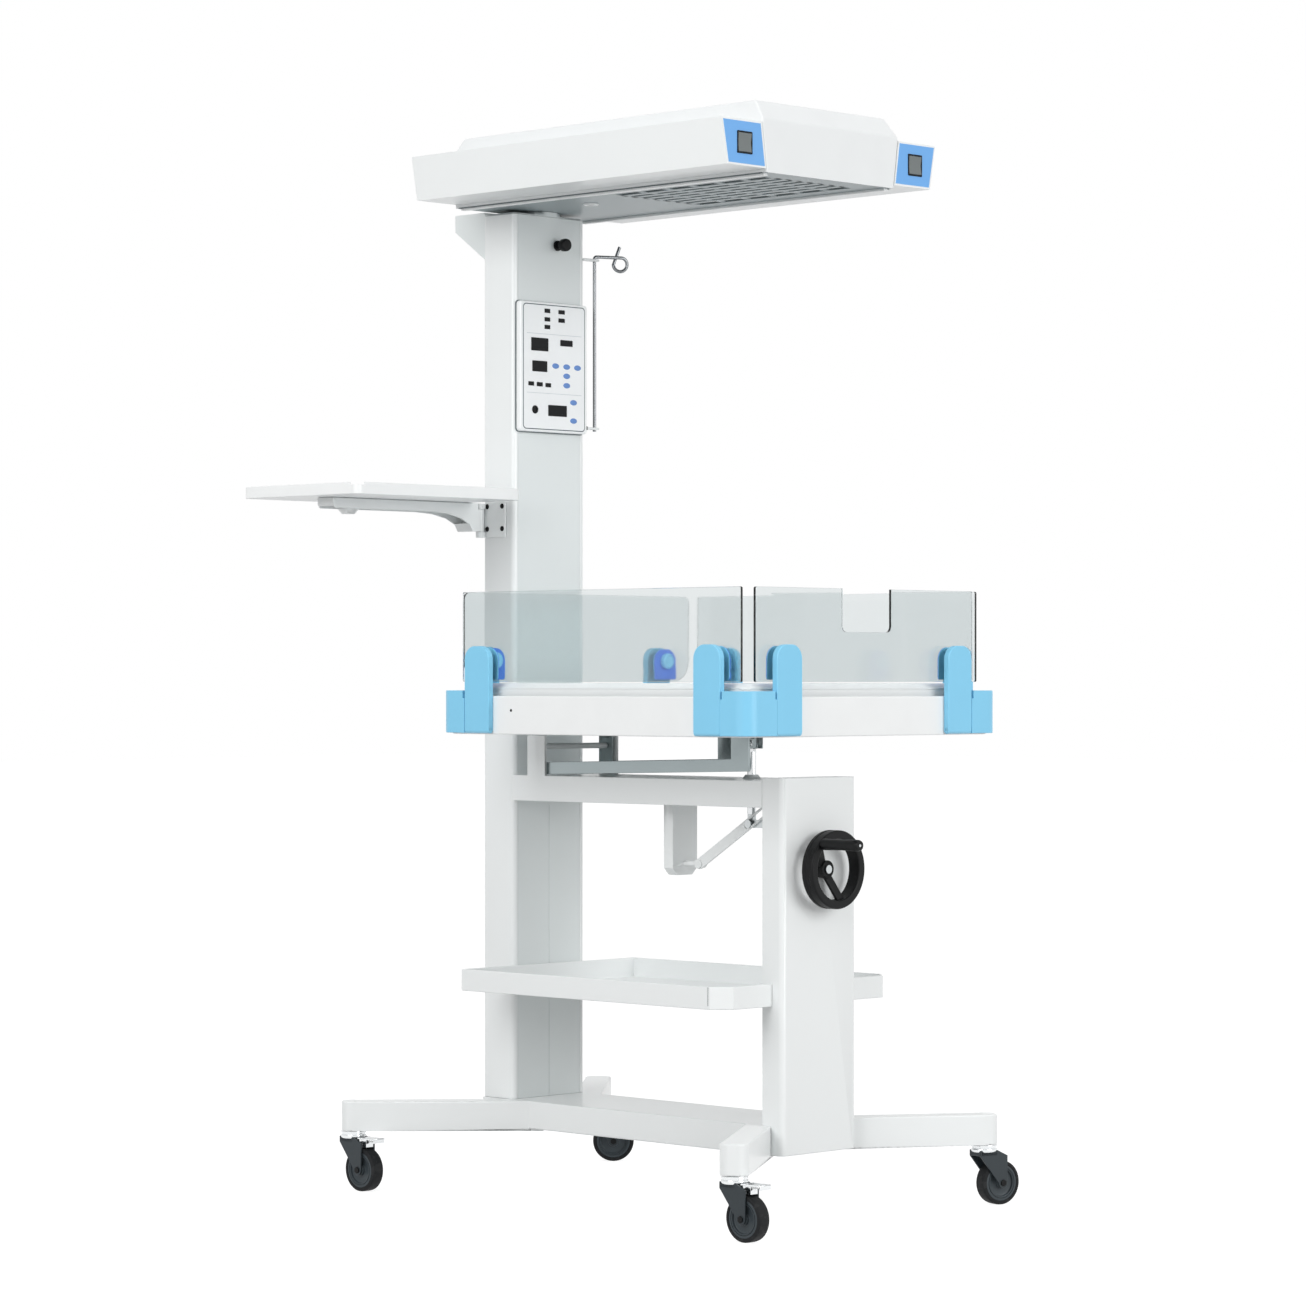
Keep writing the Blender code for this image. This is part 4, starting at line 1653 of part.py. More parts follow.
def build():
    root = empty("warmer_root")
    build_base(root)
    for place in CASTERS:
        build_caster(place, root)
    build_post(root)
    build_beam(root)
    build_column(root)
    build_column_cover(root)
    build_handwheel(root)
    build_lead_screw(root)
    build_lift(root)
    build_link(root)
    build_bed(root)
    build_neck(root)
    build_head(root)
    build_lock_knob(root)
    build_control_panel(root)
    build_shelf(root)
    build_tray_bracket(root)
    build_tray_arm(root)
    build_hook(root)
    stand_on_origin(root)


build()
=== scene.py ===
# %% [markdown]
# # An infant radiant warmer
# This is a warmer for newborn babies: a stand on four casters, a bed that tilts on a
# cross beam and has clear drop-down panels, and a heater head on a column. The solid
# model fixes every size and every joint. This file dresses it: it copies or rebuilds
# what is seen, gives each piece its own finish, and hangs it on the body it moves with.

# %% Load the solid model
import json
import math

import bmesh
import bpy
from mathutils import Matrix, Vector
from mathutils.bvhtree import BVHTree

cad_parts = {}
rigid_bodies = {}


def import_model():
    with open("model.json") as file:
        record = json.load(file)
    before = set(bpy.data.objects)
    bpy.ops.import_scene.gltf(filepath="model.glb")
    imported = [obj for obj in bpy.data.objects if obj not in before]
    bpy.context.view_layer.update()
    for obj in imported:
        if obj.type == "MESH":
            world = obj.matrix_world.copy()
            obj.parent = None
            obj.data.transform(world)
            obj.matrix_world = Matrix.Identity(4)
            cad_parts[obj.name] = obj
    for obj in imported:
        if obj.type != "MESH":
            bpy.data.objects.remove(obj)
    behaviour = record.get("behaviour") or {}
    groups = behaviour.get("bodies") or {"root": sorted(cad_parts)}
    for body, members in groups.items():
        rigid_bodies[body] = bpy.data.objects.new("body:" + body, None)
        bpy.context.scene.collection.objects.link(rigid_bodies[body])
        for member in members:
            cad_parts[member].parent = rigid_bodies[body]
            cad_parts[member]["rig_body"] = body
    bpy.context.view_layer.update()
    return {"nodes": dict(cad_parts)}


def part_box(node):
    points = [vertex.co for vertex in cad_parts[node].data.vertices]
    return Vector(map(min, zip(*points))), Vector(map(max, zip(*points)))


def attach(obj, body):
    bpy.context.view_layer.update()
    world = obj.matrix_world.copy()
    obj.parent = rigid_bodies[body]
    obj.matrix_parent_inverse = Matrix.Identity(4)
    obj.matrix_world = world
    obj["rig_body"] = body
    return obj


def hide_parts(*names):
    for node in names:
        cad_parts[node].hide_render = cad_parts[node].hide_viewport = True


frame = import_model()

# %% [markdown]
# ## Where things are
# All sizes below are in metres from the middle plane of the stand, with Y towards the
# column and Z up from the floor. The solid model stands on its own centre, so one
# offset, read from the front post, takes every finished piece there.

# %% The offset to the model's frame
post_low, post_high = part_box("front_post")
SHIFT = Vector(((post_low.x + post_high.x) / 2, (post_low.y + post_high.y) / 2 + 0.320, 0.0))
print("offset:", [round(value, 5) for value in SHIFT])

# %% [markdown]
# ## Writing node trees as sums
# A finish is easier to read as a formula than as a web of nodes. The class below wraps
# a node's output, so that a sum on it adds the Math nodes. Every other node is added by
# one function, which works for finishes and for Geometry Nodes alike.

# %% Node trees from Python
class Link:
    """A node's output, which can be used in sums."""

    def __init__(self, tree, socket):
        self.tree = tree
        self.socket = socket

    def math(self, operation, first, second):
        return node(self.tree, "ShaderNodeMath", {"operation": operation}, {0: first, 1: second})

    def __add__(self, other):
        return self.math("ADD", self, other)

    def __sub__(self, other):
        return self.math("SUBTRACT", self, other)

    def __rsub__(self, other):
        return self.math("SUBTRACT", other, self)

    def __mul__(self, other):
        return self.math("MULTIPLY", self, other)

    def __gt__(self, other):
        return self.math("GREATER_THAN", self, other)

    __radd__ = __add__
    __rmul__ = __mul__

# %% One function for every node
def node(tree, kind, settings=None, inputs=None, output=0):
    """Add one node: its settings first, then the values or links of its sockets."""
    made = tree.nodes.new(kind)
    for name, value in (settings or {}).items():
        setattr(made, name, value)
    for key, value in (inputs or {}).items():
        for item in value if isinstance(value, list) else [value]:
            if isinstance(item, Link):
                tree.links.new(item.socket, made.inputs[key])
            else:
                made.inputs[key].default_value = item
    return Link(tree, made.outputs[output]) if made.outputs else None

# %% [markdown]
# ## Finishes
# Enamel is sprayed on as powder and baked, which leaves a fine orange peel. Moulded
# plastic carries the fine spark grain of its tool. Plated steel is smooth with faint
# smudges, and rolled steel shows its direction. Each finish is one function of a colour,
# and reads Object coordinates, so that its scale is real: a noise scale of 500 makes
# marks about 2 mm apart.

# %% Helpers for finishes
def new_look(name):
    made = bpy.data.materials.new(name)
    made.use_nodes = True
    made.node_tree.nodes.clear()
    return made, made.node_tree


def surface(tree, inputs):
    shader = node(tree, "ShaderNodeBsdfPrincipled", None, inputs)
    node(tree, "ShaderNodeOutputMaterial", None, {"Surface": shader})


def place_in(tree, scale=(1.0, 1.0, 1.0)):
    """Object coordinates, stretched for a pattern that has a direction."""
    place = node(tree, "ShaderNodeTexCoord", output=3)
    return node(tree, "ShaderNodeMapping", None, {"Vector": place, "Scale": scale})


def noise(tree, place, scale, detail=2.0):
    return node(tree, "ShaderNodeTexNoise", None,
                {"Vector": place, "Scale": scale, "Detail": detail})


def blended(tree, factor, first, second):
    return node(tree, "ShaderNodeMix", {"data_type": "RGBA"},
                {0: factor, 6: (*first, 1.0), 7: (*second, 1.0)}, 2)


def bump(tree, height, distance, strength=1.0):
    return node(tree, "ShaderNodeBump", None,
                {"Height": height, "Distance": distance, "Strength": strength})


def darker(colour, share):
    return tuple(value * share for value in colour)


def seen_by(tree, *rays):
    """One on rays of the named kinds, else nought."""
    path = tree.nodes.new("ShaderNodeLightPath")
    kinds = [Link(tree, path.outputs[ray]) for ray in rays]
    found = kinds[0]
    for kind in kinds[1:]:
        found = found.math("MAXIMUM", found, kind)
    return found


def told(kind, *looks):
    """Print the names of the finishes that a cell made."""
    print(kind + ":", ", ".join(look.name for look in looks))

# %% Enamel
def enamel(name, colour, roughness=0.30):
    """Baked powder coat: fine orange peel and a faint cloud in its shade."""
    made, tree = new_look(name)
    place = place_in(tree)
    cloud = noise(tree, place, 4.0, 3.0)
    peel = noise(tree, place, 420.0, 2.0)
    surface(tree, {
        "Base Color": blended(tree, cloud, darker(colour, 0.965), colour),
        "Roughness": roughness + 0.08 * (peel - 0.5) + 0.05 * cloud,
        "Normal": bump(tree, peel, 0.00006, 0.35),
        "Coat Weight": 0.15,
        "Coat Roughness": 0.12,
    })
    return made


WHITE = enamel("white enamel", (0.87, 0.892, 0.892))
# A shade darker than the white enamel: painted shade of the column's front below the head and the
# bed, worn by the cover and the swivel neck.
SHADED_COVER_ENAMEL = enamel("column cover enamel with painted shade", (0.78, 0.82, 0.82), 0.34)
UNDERSIDE_GREY = enamel("heater underside enamel", (0.26, 0.31, 0.325), 0.42)
told("enamels", WHITE, SHADED_COVER_ENAMEL, UNDERSIDE_GREY)

# %% Moulded plastic
def moulded(name, colour, roughness=0.38, grain=0.00005, gloss=0.5):
    """Injection-moulded plastic with the spark grain of its tool."""
    made, tree = new_look(name)
    place = place_in(tree)
    spark = noise(tree, place, 1500.0, 3.0)
    cloud = noise(tree, place, 18.0, 3.0)
    surface(tree, {
        "Base Color": blended(tree, cloud, darker(colour, 0.95), colour),
        "Roughness": roughness + 0.10 * (spark - 0.5) + 0.04 * (cloud - 0.5),
        "Specular IOR Level": gloss,
        "Normal": bump(tree, spark, grain, 0.4),
    })
    return made


# Darker than the shell white: painted shade on the hood.
SHADED_HOOD_WHITE = moulded("hood shell white, painted shade", (0.83, 0.85, 0.855), 0.34)
SHELL_WHITE = moulded("white moulded shell", (0.89, 0.905, 0.905), 0.34)
# Lighter than the shell white: painted light on the control frame.
LIT_PANEL_WHITE = moulded("control frame white, painted light", (0.93, 0.95, 0.955), 0.34)
LIGHT_BLUE = moulded("light blue plastic", (0.235, 0.62, 0.87), 0.36)
# Deep blue for the clamps' inner layer: partly the plates' colour, partly painted shade of their
# inner faces.
DEEP_BLUE_AND_SHADE = moulded("deep blue plastic and painted shade", (0.07, 0.22, 0.78), 0.34)
CAP_BLUE = moulded("end cap blue", (0.155, 0.42, 0.84), 0.40)
told("white plastics", SHADED_HOOD_WHITE, SHELL_WHITE, LIT_PANEL_WHITE)
told("blue plastics", LIGHT_BLUE, DEEP_BLUE_AND_SHADE, CAP_BLUE)

# %% Dark plastics
# Dark for the seam along the rails, and for strips of painted shadow: the gaps below the head,
# behind the control frame and in the shelf's slit.
SEAM_AND_SHADOW_DARK = moulded("dark seam and painted shadow", (0.10, 0.13, 0.14), 0.50)
BLACK_PLASTIC = moulded("black plastic", (0.0040, 0.0045, 0.0050), 0.42, 0.00008, 0.18)
SWITCH_GREY = moulded("rocker grey", (0.15, 0.17, 0.17), 0.36)
HUB_GREY = moulded("wheel core grey", (0.040, 0.052, 0.060), 0.45, 0.00008, 0.35)
FORK_GREY = moulded("fork paint", (0.026, 0.035, 0.041), 0.42, 0.00005, 0.35)
told("dark plastics", SEAM_AND_SHADOW_DARK, BLACK_PLASTIC, SWITCH_GREY, HUB_GREY, FORK_GREY)

# %% Rubber
def rubber(name, colour):
    """Solid rubber: matt, with paler scuffs in patches."""
    made, tree = new_look(name)
    place = place_in(tree)
    grit = noise(tree, place, 900.0, 4.0)
    scuff = noise(tree, place, 60.0, 5.0)
    worn = (scuff > 0.58) * 0.5
    surface(tree, {
        "Base Color": blended(tree, worn, colour, tuple(value + 0.02 for value in colour)),
        "Roughness": 0.55 + 0.25 * grit,
        "Specular IOR Level": 0.25,
        "Normal": bump(tree, grit, 0.00012, 0.5),
    })
    return made


RUBBER = rubber("tyre rubber", (0.006, 0.007, 0.008))
told("rubber", RUBBER)

# %% Bright plating
def plated(name, colour, roughness=0.10):
    """Bright plating with faint smudges."""
    made, tree = new_look(name)
    place = place_in(tree)
    smudge = noise(tree, place, 35.0, 4.0)
    pits = noise(tree, place, 700.0, 2.0)
    surface(tree, {
        "Base Color": blended(tree, smudge, darker(colour, 0.93), colour),
        "Metallic": 1.0,
        "Roughness": roughness + 0.14 * smudge,
        "Normal": bump(tree, pits, 0.00002, 0.3),
    })
    return made


CHROME = plated("bright plating", (0.80, 0.82, 0.83))
ZINC = plated("zinc plating", (0.60, 0.63, 0.64), 0.24)
DARK_WIRE = plated("dark plated wire", (0.25, 0.26, 0.27), 0.18)
told("plating", CHROME, ZINC, DARK_WIRE)

# %% Rolled metal
def rolled(name, colour, roughness=0.32, along=(40.0, 1.0, 40.0)):
    """Rolled or drawn metal, with fine lines along one axis."""
    made, tree = new_look(name)
    lines = noise(tree, place_in(tree, along), 30.0, 4.0)
    cloud = noise(tree, place_in(tree), 12.0, 3.0)
    surface(tree, {
        "Base Color": blended(tree, cloud, darker(colour, 0.88), colour),
        "Metallic": 1.0,
        "Roughness": roughness + 0.18 * (lines - 0.5),
        "Normal": bump(tree, lines, 0.00003, 0.4),
    })
    return made


STEEL = rolled("rolled steel", (0.36, 0.41, 0.42))
DULL_STEEL = rolled("dull reflector steel", (0.032, 0.037, 0.040), 0.36)
ELEMENT = rolled("heater sheath", (0.20, 0.15, 0.12), 0.45)
told("rolled metal", STEEL, DULL_STEEL, ELEMENT)

# %% [markdown]
# The panels are cast acrylic, so their finish lets light through and bends it. A lamp's
# light passes straight to what lies behind, because glass alone would throw a shadow as
# dark as a board's. They are slightly grey, as in the photograph, where two sheets behind
# each other are darker.

# %% Acrylic
def acrylic(name, tint, shade):
    """A clear sheet: its tint is seen by the eye, its shade dims a lamp behind it."""
    made, tree = new_look(name)
    haze = noise(tree, place_in(tree), 14.0, 3.0)
    glass = node(tree, "ShaderNodeBsdfPrincipled", None, {
        "Base Color": (*tint, 1.0),
        "Roughness": 0.02 + 0.03 * haze,
        "IOR": 1.49,
        "Transmission Weight": 1.0,
    })
    clear = node(tree, "ShaderNodeBsdfTransparent", None, {"Color": (*shade, 1.0)})
    to_lamp = seen_by(tree, "Is Shadow Ray")
    mixed = node(tree, "ShaderNodeMixShader", None, {0: to_lamp, 1: glass, 2: clear})
    node(tree, "ShaderNodeOutputMaterial", None, {"Surface": mixed})
    return made


CLEAR = acrylic("clear acrylic", (0.78, 0.815, 0.82), (0.85, 0.88, 0.885))
told("acrylic", CLEAR)

# %% [markdown]
# The pad has a cover of close white cloth. An image of cloth would need a file and a UV
# map, so two crossed waves, 0.9 mm apart, make the threads instead. The board behind the
# control panel hardly shows, and a brick pattern is enough for its copper tracks.

# %% Pad cover
def pad_cover(name, colour):
    made, tree = new_look(name)
    place = place_in(tree)
    threads = []
    for axis in ("X", "Y"):
        threads.append(node(tree, "ShaderNodeTexWave",
                            {"wave_type": "BANDS", "bands_direction": axis},
                            {"Vector": place, "Scale": 350.0, "Distortion": 0.6, "Detail": 1.0}, 1))
    weave = threads[0] * 0.5 + threads[1] * 0.5
    cloud = noise(tree, place, 9.0, 3.0)
    surface(tree, {
        "Base Color": blended(tree, weave * 0.6 + cloud * 0.4, darker(colour, 0.92), colour),
        "Roughness": 0.78 + 0.12 * weave,
        "Normal": bump(tree, weave, 0.00012, 0.5),
        "Sheen Weight": 0.15,
    })
    return made


COVER_CLOTH = pad_cover("pad cover", (0.80, 0.82, 0.825))
told("cloth", COVER_CLOTH)

# %% Circuit board
def circuit_board(name):
    """Green lacquer with paler copper tracks under it."""
    made, tree = new_look(name)
    tracks = node(tree, "ShaderNodeTexBrick", {"offset": 0.5},
                  {"Vector": place_in(tree), "Scale": 90.0, "Mortar Size": 0.03}, 1)
    surface(tree, {
        "Base Color": blended(tree, tracks, (0.02, 0.16, 0.06), (0.08, 0.32, 0.13)),
        "Roughness": 0.30 + 0.10 * tracks,
        "Normal": bump(tree, tracks, 0.0001, 0.5),
    })
    return made


BOARD = circuit_board("board lacquer")
print("finishes so far:", len(bpy.data.materials))

# %% [markdown]
# ## Shaping helpers
# Most pieces are bent sheet or moulded slabs, so a few helpers cover them: a flat outline
# made thick with rounded rims, a stack of rings, a turned profile, and a copy of a solid
# with its long edges rounded. A curve's own bevel rounds a rim, also round its holes,
# where a bevel on a finished mesh would trip over small faces.

# %% Outlines
def arc(centre, radius, start, end, steps=8):
    turns = [math.radians(start + (end - start) * i / steps) for i in range(steps + 1)]
    return [(centre[0] + radius * math.cos(t), centre[1] + radius * math.sin(t)) for t in turns]


def rounded(u0, u1, v0, v1, radii, steps=8):
    """A rectangle with a radius at each corner, from the lower left round."""
    corners = ((u0, v0, 1, 1, 180), (u1, v0, -1, 1, 270), (u1, v1, -1, -1, 0), (u0, v1, 1, -1, 90))
    points = []
    for (u, v, to_u, to_v, angle), radius in zip(corners, radii):
        if radius > 0:
            points += arc((u + to_u * radius, v + to_v * radius), radius, angle, angle + 90, steps)
        else:
            points.append((u, v))
    return points


def circle(centre, radius, sides=32):
    return arc(centre, radius, 0, 360 * (sides - 1) / sides, sides - 1)


print("points round an eased square:", len(rounded(0, 1, 0, 1, (0.1,) * 4)))

# %% Objects and meshes
def in_scene(name, data):
    """An object in the scene that shows a mesh, curve, lamp or camera."""
    made = bpy.data.objects.new(name, data)
    bpy.context.scene.collection.objects.link(made)
    return made


def mesh_of(name, bm):
    """The plain mesh of a shape. The shape itself is used up."""
    mesh = bpy.data.meshes.new(name)
    bm.to_mesh(mesh)
    bm.free()
    return mesh


def mesh_from(guide):
    """The plain mesh of an object with its curve or modifiers worked out."""
    bpy.context.view_layer.update()
    graph = bpy.context.evaluated_depsgraph_get()
    mesh = bpy.data.meshes.new_from_object(guide.evaluated_get(graph))
    bpy.data.objects.remove(guide, do_unlink=True)
    return mesh


def bm_from(mesh):
    bm = bmesh.new()
    bm.from_mesh(mesh)
    bpy.data.meshes.remove(mesh)
    return bm

# %% Drawing planes and welding
XY = Matrix.Identity(4)
XZ = Matrix(((1, 0, 0, 0), (0, 0, 1, 0), (0, 1, 0, 0), (0, 0, 0, 1)))
YZ = Matrix(((0, 0, 1, 0), (1, 0, 0, 0), (0, 1, 0, 0), (0, 0, 0, 1)))
CLOSE = 0.00001


def tidied(bm, matrix=XY):
    """Weld a shape, put it in place and point its faces outwards."""
    bmesh.ops.remove_doubles(bm, verts=bm.verts, dist=CLOSE)
    bm.transform(matrix)
    bm.normal_update()
    bmesh.ops.recalc_face_normals(bm, faces=bm.faces)
    return bm

# %% Slabs and blocks
def slab(outlines, low, high, plane=XY, edge=0.0, steps=2):
    """A flat outline, with holes if more follow, from low to high, rims rounded."""
    curve = bpy.data.curves.new("outline", "CURVE")
    curve.dimensions = "2D"
    curve.fill_mode = "BOTH"
    curve.extrude = (high - low) / 2 - edge
    curve.bevel_depth = edge
    curve.bevel_resolution = steps
    curve.offset = -edge
    for points in outlines:
        spline = curve.splines.new("POLY")
        spline.points.add(len(points) - 1)
        for point, (u, v) in zip(spline.points, points):
            point.co = (u, v, 0, 1)
        spline.use_cyclic_u = True
    guide = in_scene("outline", curve)
    lift = Matrix.Translation((0, 0, (high + low) / 2))
    return tidied(bm_from(mesh_from(guide)), plane @ lift)


def block(low, high, edge=0.0, matrix=XY):
    """A box with rounded edges."""
    outline = rounded(low[0], high[0], low[1], high[1], (edge,) * 4, 3)
    return slab([outline], low[2], high[2], matrix, edge * 0.9)


def span_block(xs, ys, zs, edge=0.0):
    """A box between pairs of numbers, each pair in either order."""
    return block(*zip(*(sorted(pair) for pair in (xs, ys, zs))), edge)

# %% Lofts
def loft(rings, matrix=XY):
    """Faces between rings with as many points each, closed at both ends."""
    bm = bmesh.new()
    rows = [[bm.verts.new(point) for point in ring] for ring in rings]
    for first, second in zip(rows, rows[1:]):
        for i in range(len(first)):
            j = (i + 1) % len(first)
            bm.faces.new((first[i], first[j], second[j], second[i]))
    bm.faces.new(rows[0])
    bm.faces.new(rows[-1])
    return tidied(bm, matrix)

# %% Turned shapes and rods
def turned(profile, matrix=XY, steps=40):
    """A profile of (radius, height) points spun about its Z axis, closed on it."""
    bm = bmesh.new()
    verts = [bm.verts.new((radius, 0, height)) for radius, height in profile]
    edges = [bm.edges.new(pair) for pair in zip(verts, verts[1:])]
    bmesh.ops.spin(bm, geom=verts + edges, cent=(0, 0, 0), axis=(0, 0, 1),
                   angle=2 * math.pi, steps=steps, use_merge=False)
    return tidied(bm, matrix)


def along(start, end):
    """The matrix that takes a shape's Z axis from one point towards another."""
    start = Vector(start)
    turn = (Vector(end) - start).to_track_quat("Z", "Y").to_matrix().to_4x4()
    return Matrix.Translation(start) @ turn


def rod(start, end, radius, edge=0.0006, steps=28):
    """A round bar between two points with eased ends."""
    length = (Vector(end) - Vector(start)).length
    profile = [(0, 0), (radius - edge, 0), (radius, edge), (radius, length - edge),
               (radius - edge, length), (0, length)]
    return turned(profile, along(start, end), steps)

# %% Joined shells and cuts
def merged(*shapes):
    """Several closed shells in one piece."""
    whole = bmesh.new()
    for shape in shapes:
        mesh = mesh_of("shell", shape)
        whole.from_mesh(mesh)
        bpy.data.meshes.remove(mesh)
    return whole


def carved(shape, *tools):
    """A shape with other shapes cut out of it."""
    guide = in_scene("carved", mesh_of("carved", shape))
    cutters = [in_scene("cutter", mesh_of("cutter", tool)) for tool in tools]
    for cutter in cutters:
        step = guide.modifiers.new("Cut", "BOOLEAN")
        step.object = cutter
        step.solver = "EXACT"
    bm = bm_from(mesh_from(guide))
    for cutter in cutters:
        bpy.data.objects.remove(cutter, do_unlink=True)
    return tidied(bm)

# %% Rounded edges, and copies of solids
def bevelled(bm, edges, width, segments, clamp=True):
    bmesh.ops.bevel(bm, geom=edges, offset=width, offset_type="OFFSET", segments=segments,
                    profile=0.5, affect="EDGES", clamp_overlap=clamp)
    return bm


def eased_copy(node_name, width=0.001, angle=40.0, shortest=0.012):
    """A copy of a solid with its long outer edges rounded."""
    bm = bmesh.new()
    bm.from_mesh(frame["nodes"][node_name].data)
    bmesh.ops.remove_doubles(bm, verts=bm.verts, dist=CLOSE)
    bmesh.ops.dissolve_limit(bm, angle_limit=math.radians(1), verts=bm.verts, edges=bm.edges)
    bmesh.ops.connect_verts_concave(bm, faces=bm.faces)
    bm.transform(Matrix.Translation(-SHIFT))
    long_edges = [edge for edge in bm.edges
                  if edge.is_convex and edge.calc_length() > shortest
                  and edge.calc_face_angle() > math.radians(angle)]
    return bevelled(bm, long_edges, width, 2, clamp=False)

# %% Finished pieces
def body_of(node_name):
    """The name of the moving body that a solid rides on."""
    return frame["nodes"][node_name]["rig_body"]


def show(name, shape, look, body, stands_for=(), sharp=40.0):
    """Turn a shape into a finished piece that rides on a body."""
    mesh = mesh_of(name, shape) if isinstance(shape, bmesh.types.BMesh) else shape
    mesh.transform(Matrix.Translation(SHIFT))
    mesh.materials.clear()
    mesh.materials.append(look)
    mesh.shade_smooth()
    mesh.set_sharp_from_angle(angle=math.radians(sharp))
    made = in_scene(name, mesh)
    even = made.modifiers.new("Even shading", "WEIGHTED_NORMAL")
    even.keep_sharp = True
    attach(made, body)
    if stands_for:
        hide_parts(*stands_for)
    print("made %s on %s, %d faces" % (name, body, len(mesh.polygons)))
    return made

# %% Solids that are copied or kept
def dress(node_name, look, width=0.001, angle=40.0, shortest=0.012):
    """Show an eased copy of a solid in its place."""
    shape = eased_copy(node_name, width, angle, shortest)
    return show(node_name + "_shown", shape, look, body_of(node_name), [node_name])


def coat(node_name, look):
    """Keep a solid as it is and give it its finish."""
    solid = frame["nodes"][node_name]
    solid.data.materials.clear()
    solid.data.materials.append(look)
    print("kept", node_name, "with its finish,", look.name)

# %% [markdown]
# ## Repeats with Geometry Nodes
# Screws, grille bars, knob ridges and keys repeat, so Geometry Nodes place them. A mesh
# of loose points says where each one goes, and an attribute of the points says which way
# a screw faces or how wide a key is. Each tree has named inputs for its sizes, and ends in
# Realize Instances and Set Material.

# %% A tree with named sizes
def new_tree(name, sizes):
    """A geometry tree with a geometry input and a named number for each size."""
    tree = bpy.data.node_groups.new(name, "GeometryNodeTree")
    tree.interface.new_socket(name="Geometry", in_out="INPUT", socket_type="NodeSocketGeometry")
    for label, value in sizes.items():
        socket = tree.interface.new_socket(name=label, in_out="INPUT",
                                           socket_type="NodeSocketFloat")
        socket.default_value = value
    tree.interface.new_socket(name="Geometry", in_out="OUTPUT", socket_type="NodeSocketGeometry")
    source = tree.nodes.new("NodeGroupInput")
    return tree, {socket.name: Link(tree, socket) for socket in source.outputs if socket.name}


def end_tree(tree, geometry, look):
    whole = node(tree, "GeometryNodeRealizeInstances", None, {"Geometry": geometry})
    painted = node(tree, "GeometryNodeSetMaterial", None, {"Geometry": whole, "Material": look})
    out = tree.nodes.new("NodeGroupOutput")
    tree.links.new(painted.socket, out.inputs[0])


def xyz(tree, x=0.0, y=0.0, z=0.0):
    return node(tree, "ShaderNodeCombineXYZ", None, {0: x, 1: y, 2: z})

# %% Points, and the mesh that a tree grows on them
def points_at(places, label=None, vectors=()):
    """Loose points, each with a vector under a label, such as the way it faces."""
    mesh = bpy.data.meshes.new("points")
    mesh.from_pydata(places, [], [])
    if label:
        labelled = mesh.attributes.new(label, "FLOAT_VECTOR", "POINT")
        for point, vector in zip(labelled.data, vectors):
            point.vector = vector
    return mesh


def labelled_vector(tree, label):
    return node(tree, "GeometryNodeInputNamedAttribute", {"data_type": "FLOAT_VECTOR"},
                {"Name": label})


def grown(tree, mesh, sizes):
    """Run a tree on a mesh and return the plain mesh it makes."""
    guide = in_scene("guide", mesh)
    step = guide.modifiers.new(tree.name, "NODES")
    step.node_group = tree
    for item in tree.interface.items_tree:
        if item.item_type == "SOCKET" and item.in_out == "INPUT" and item.name in sizes:
            step[item.identifier] = sizes[item.name]
    return mesh_from(guide)

# %% [markdown]
# ## Stand
# The base is two splayed legs each side of a hollow spine, welded and coated in one
# colour. Post, beam and column are folded sheet. Their shapes are right in the solid
# model, so each is copied, its triangles are merged to flat faces, and its long edges
# get the small radius that folding and coating leave.

# %% Base, post, beam and column
dress("base_frame", WHITE, 0.0022)
dress("front_post", WHITE, 0.0016)
dress("cross_beam", WHITE, 0.0014)
dress("column", WHITE, 0.0010)
# The cover and the neck wear the darker enamel, as painted shade.
dress("column_front_cover", SHADED_COVER_ENAMEL, 0.0004, shortest=0.05)
dress("swivel_neck", SHADED_COVER_ENAMEL, 0.0012, shortest=0.02)
dress("tilt_frame", STEEL, 0.0008)
dress("tray_bracket", WHITE, 0.0006)
dress("tray_arm", WHITE, 0.0014)

# %% [markdown]
# Each leg ends in a pressed cap. It is a short shell that stands a little proud of the
# leg, which shows as a fine seam, and follows the leg's rounded tip.

# %% Caps on the leg ends
# x and y of the caster, y of the leg's root, and the caster's heading in degrees
CASTERS = {
    "front_left": (-0.304, -0.438, -0.287, -90.0),
    "front_right": (0.304, -0.438, -0.287, -14.0),
    "rear_left": (-0.297, 0.473, 0.2855, -90.0),
    "rear_right": (0.297, 0.473, 0.2855, -45.0),
}
CASTER_TOP = 0.103
LEG_TOP = 0.153
LEG_ROOT_X = 0.0875

for place, (x, y, root_y, heading) in CASTERS.items():
    root = Vector((math.copysign(LEG_ROOT_X, x), root_y, 0))
    turn = math.atan2(y - root.y, x - root.x)
    length = math.hypot(x - root.x, y - root.y) + 0.020
    outline = rounded(length - 0.023, length + 0.0003, -0.0233, 0.0233, (0, 0.0163, 0.0163, 0))
    cap = slab([outline], CASTER_TOP + 0.0005, LEG_TOP + 0.0003, edge=0.0018, steps=3)
    cap.transform(Matrix.Translation(root) @ Matrix.Rotation(turn, 4, "Z"))
    show("leg_end_cap_" + place, cap, WHITE, "stand")

# %% [markdown]
# ## Casters
# A caster is a plated swivel race, a pressed fork painted grey, and a wheel with a grey
# core inside a black tyre. The wheel is turned from a profile, because every ring on it
# is round. The fork's sides are slabs drawn from the side, with eased rims.

# %% Where a caster and its wheel stand
AXLE_Z = 0.0375 * math.cos(math.pi / 28)
TRAIL = 0.028


def caster_matrix(place):
    x, y, _, heading = CASTERS[place]
    turn = Matrix.Rotation(math.radians(heading - 90), 4, "Z")
    return Matrix.Translation((x, y, CASTER_TOP)) @ turn


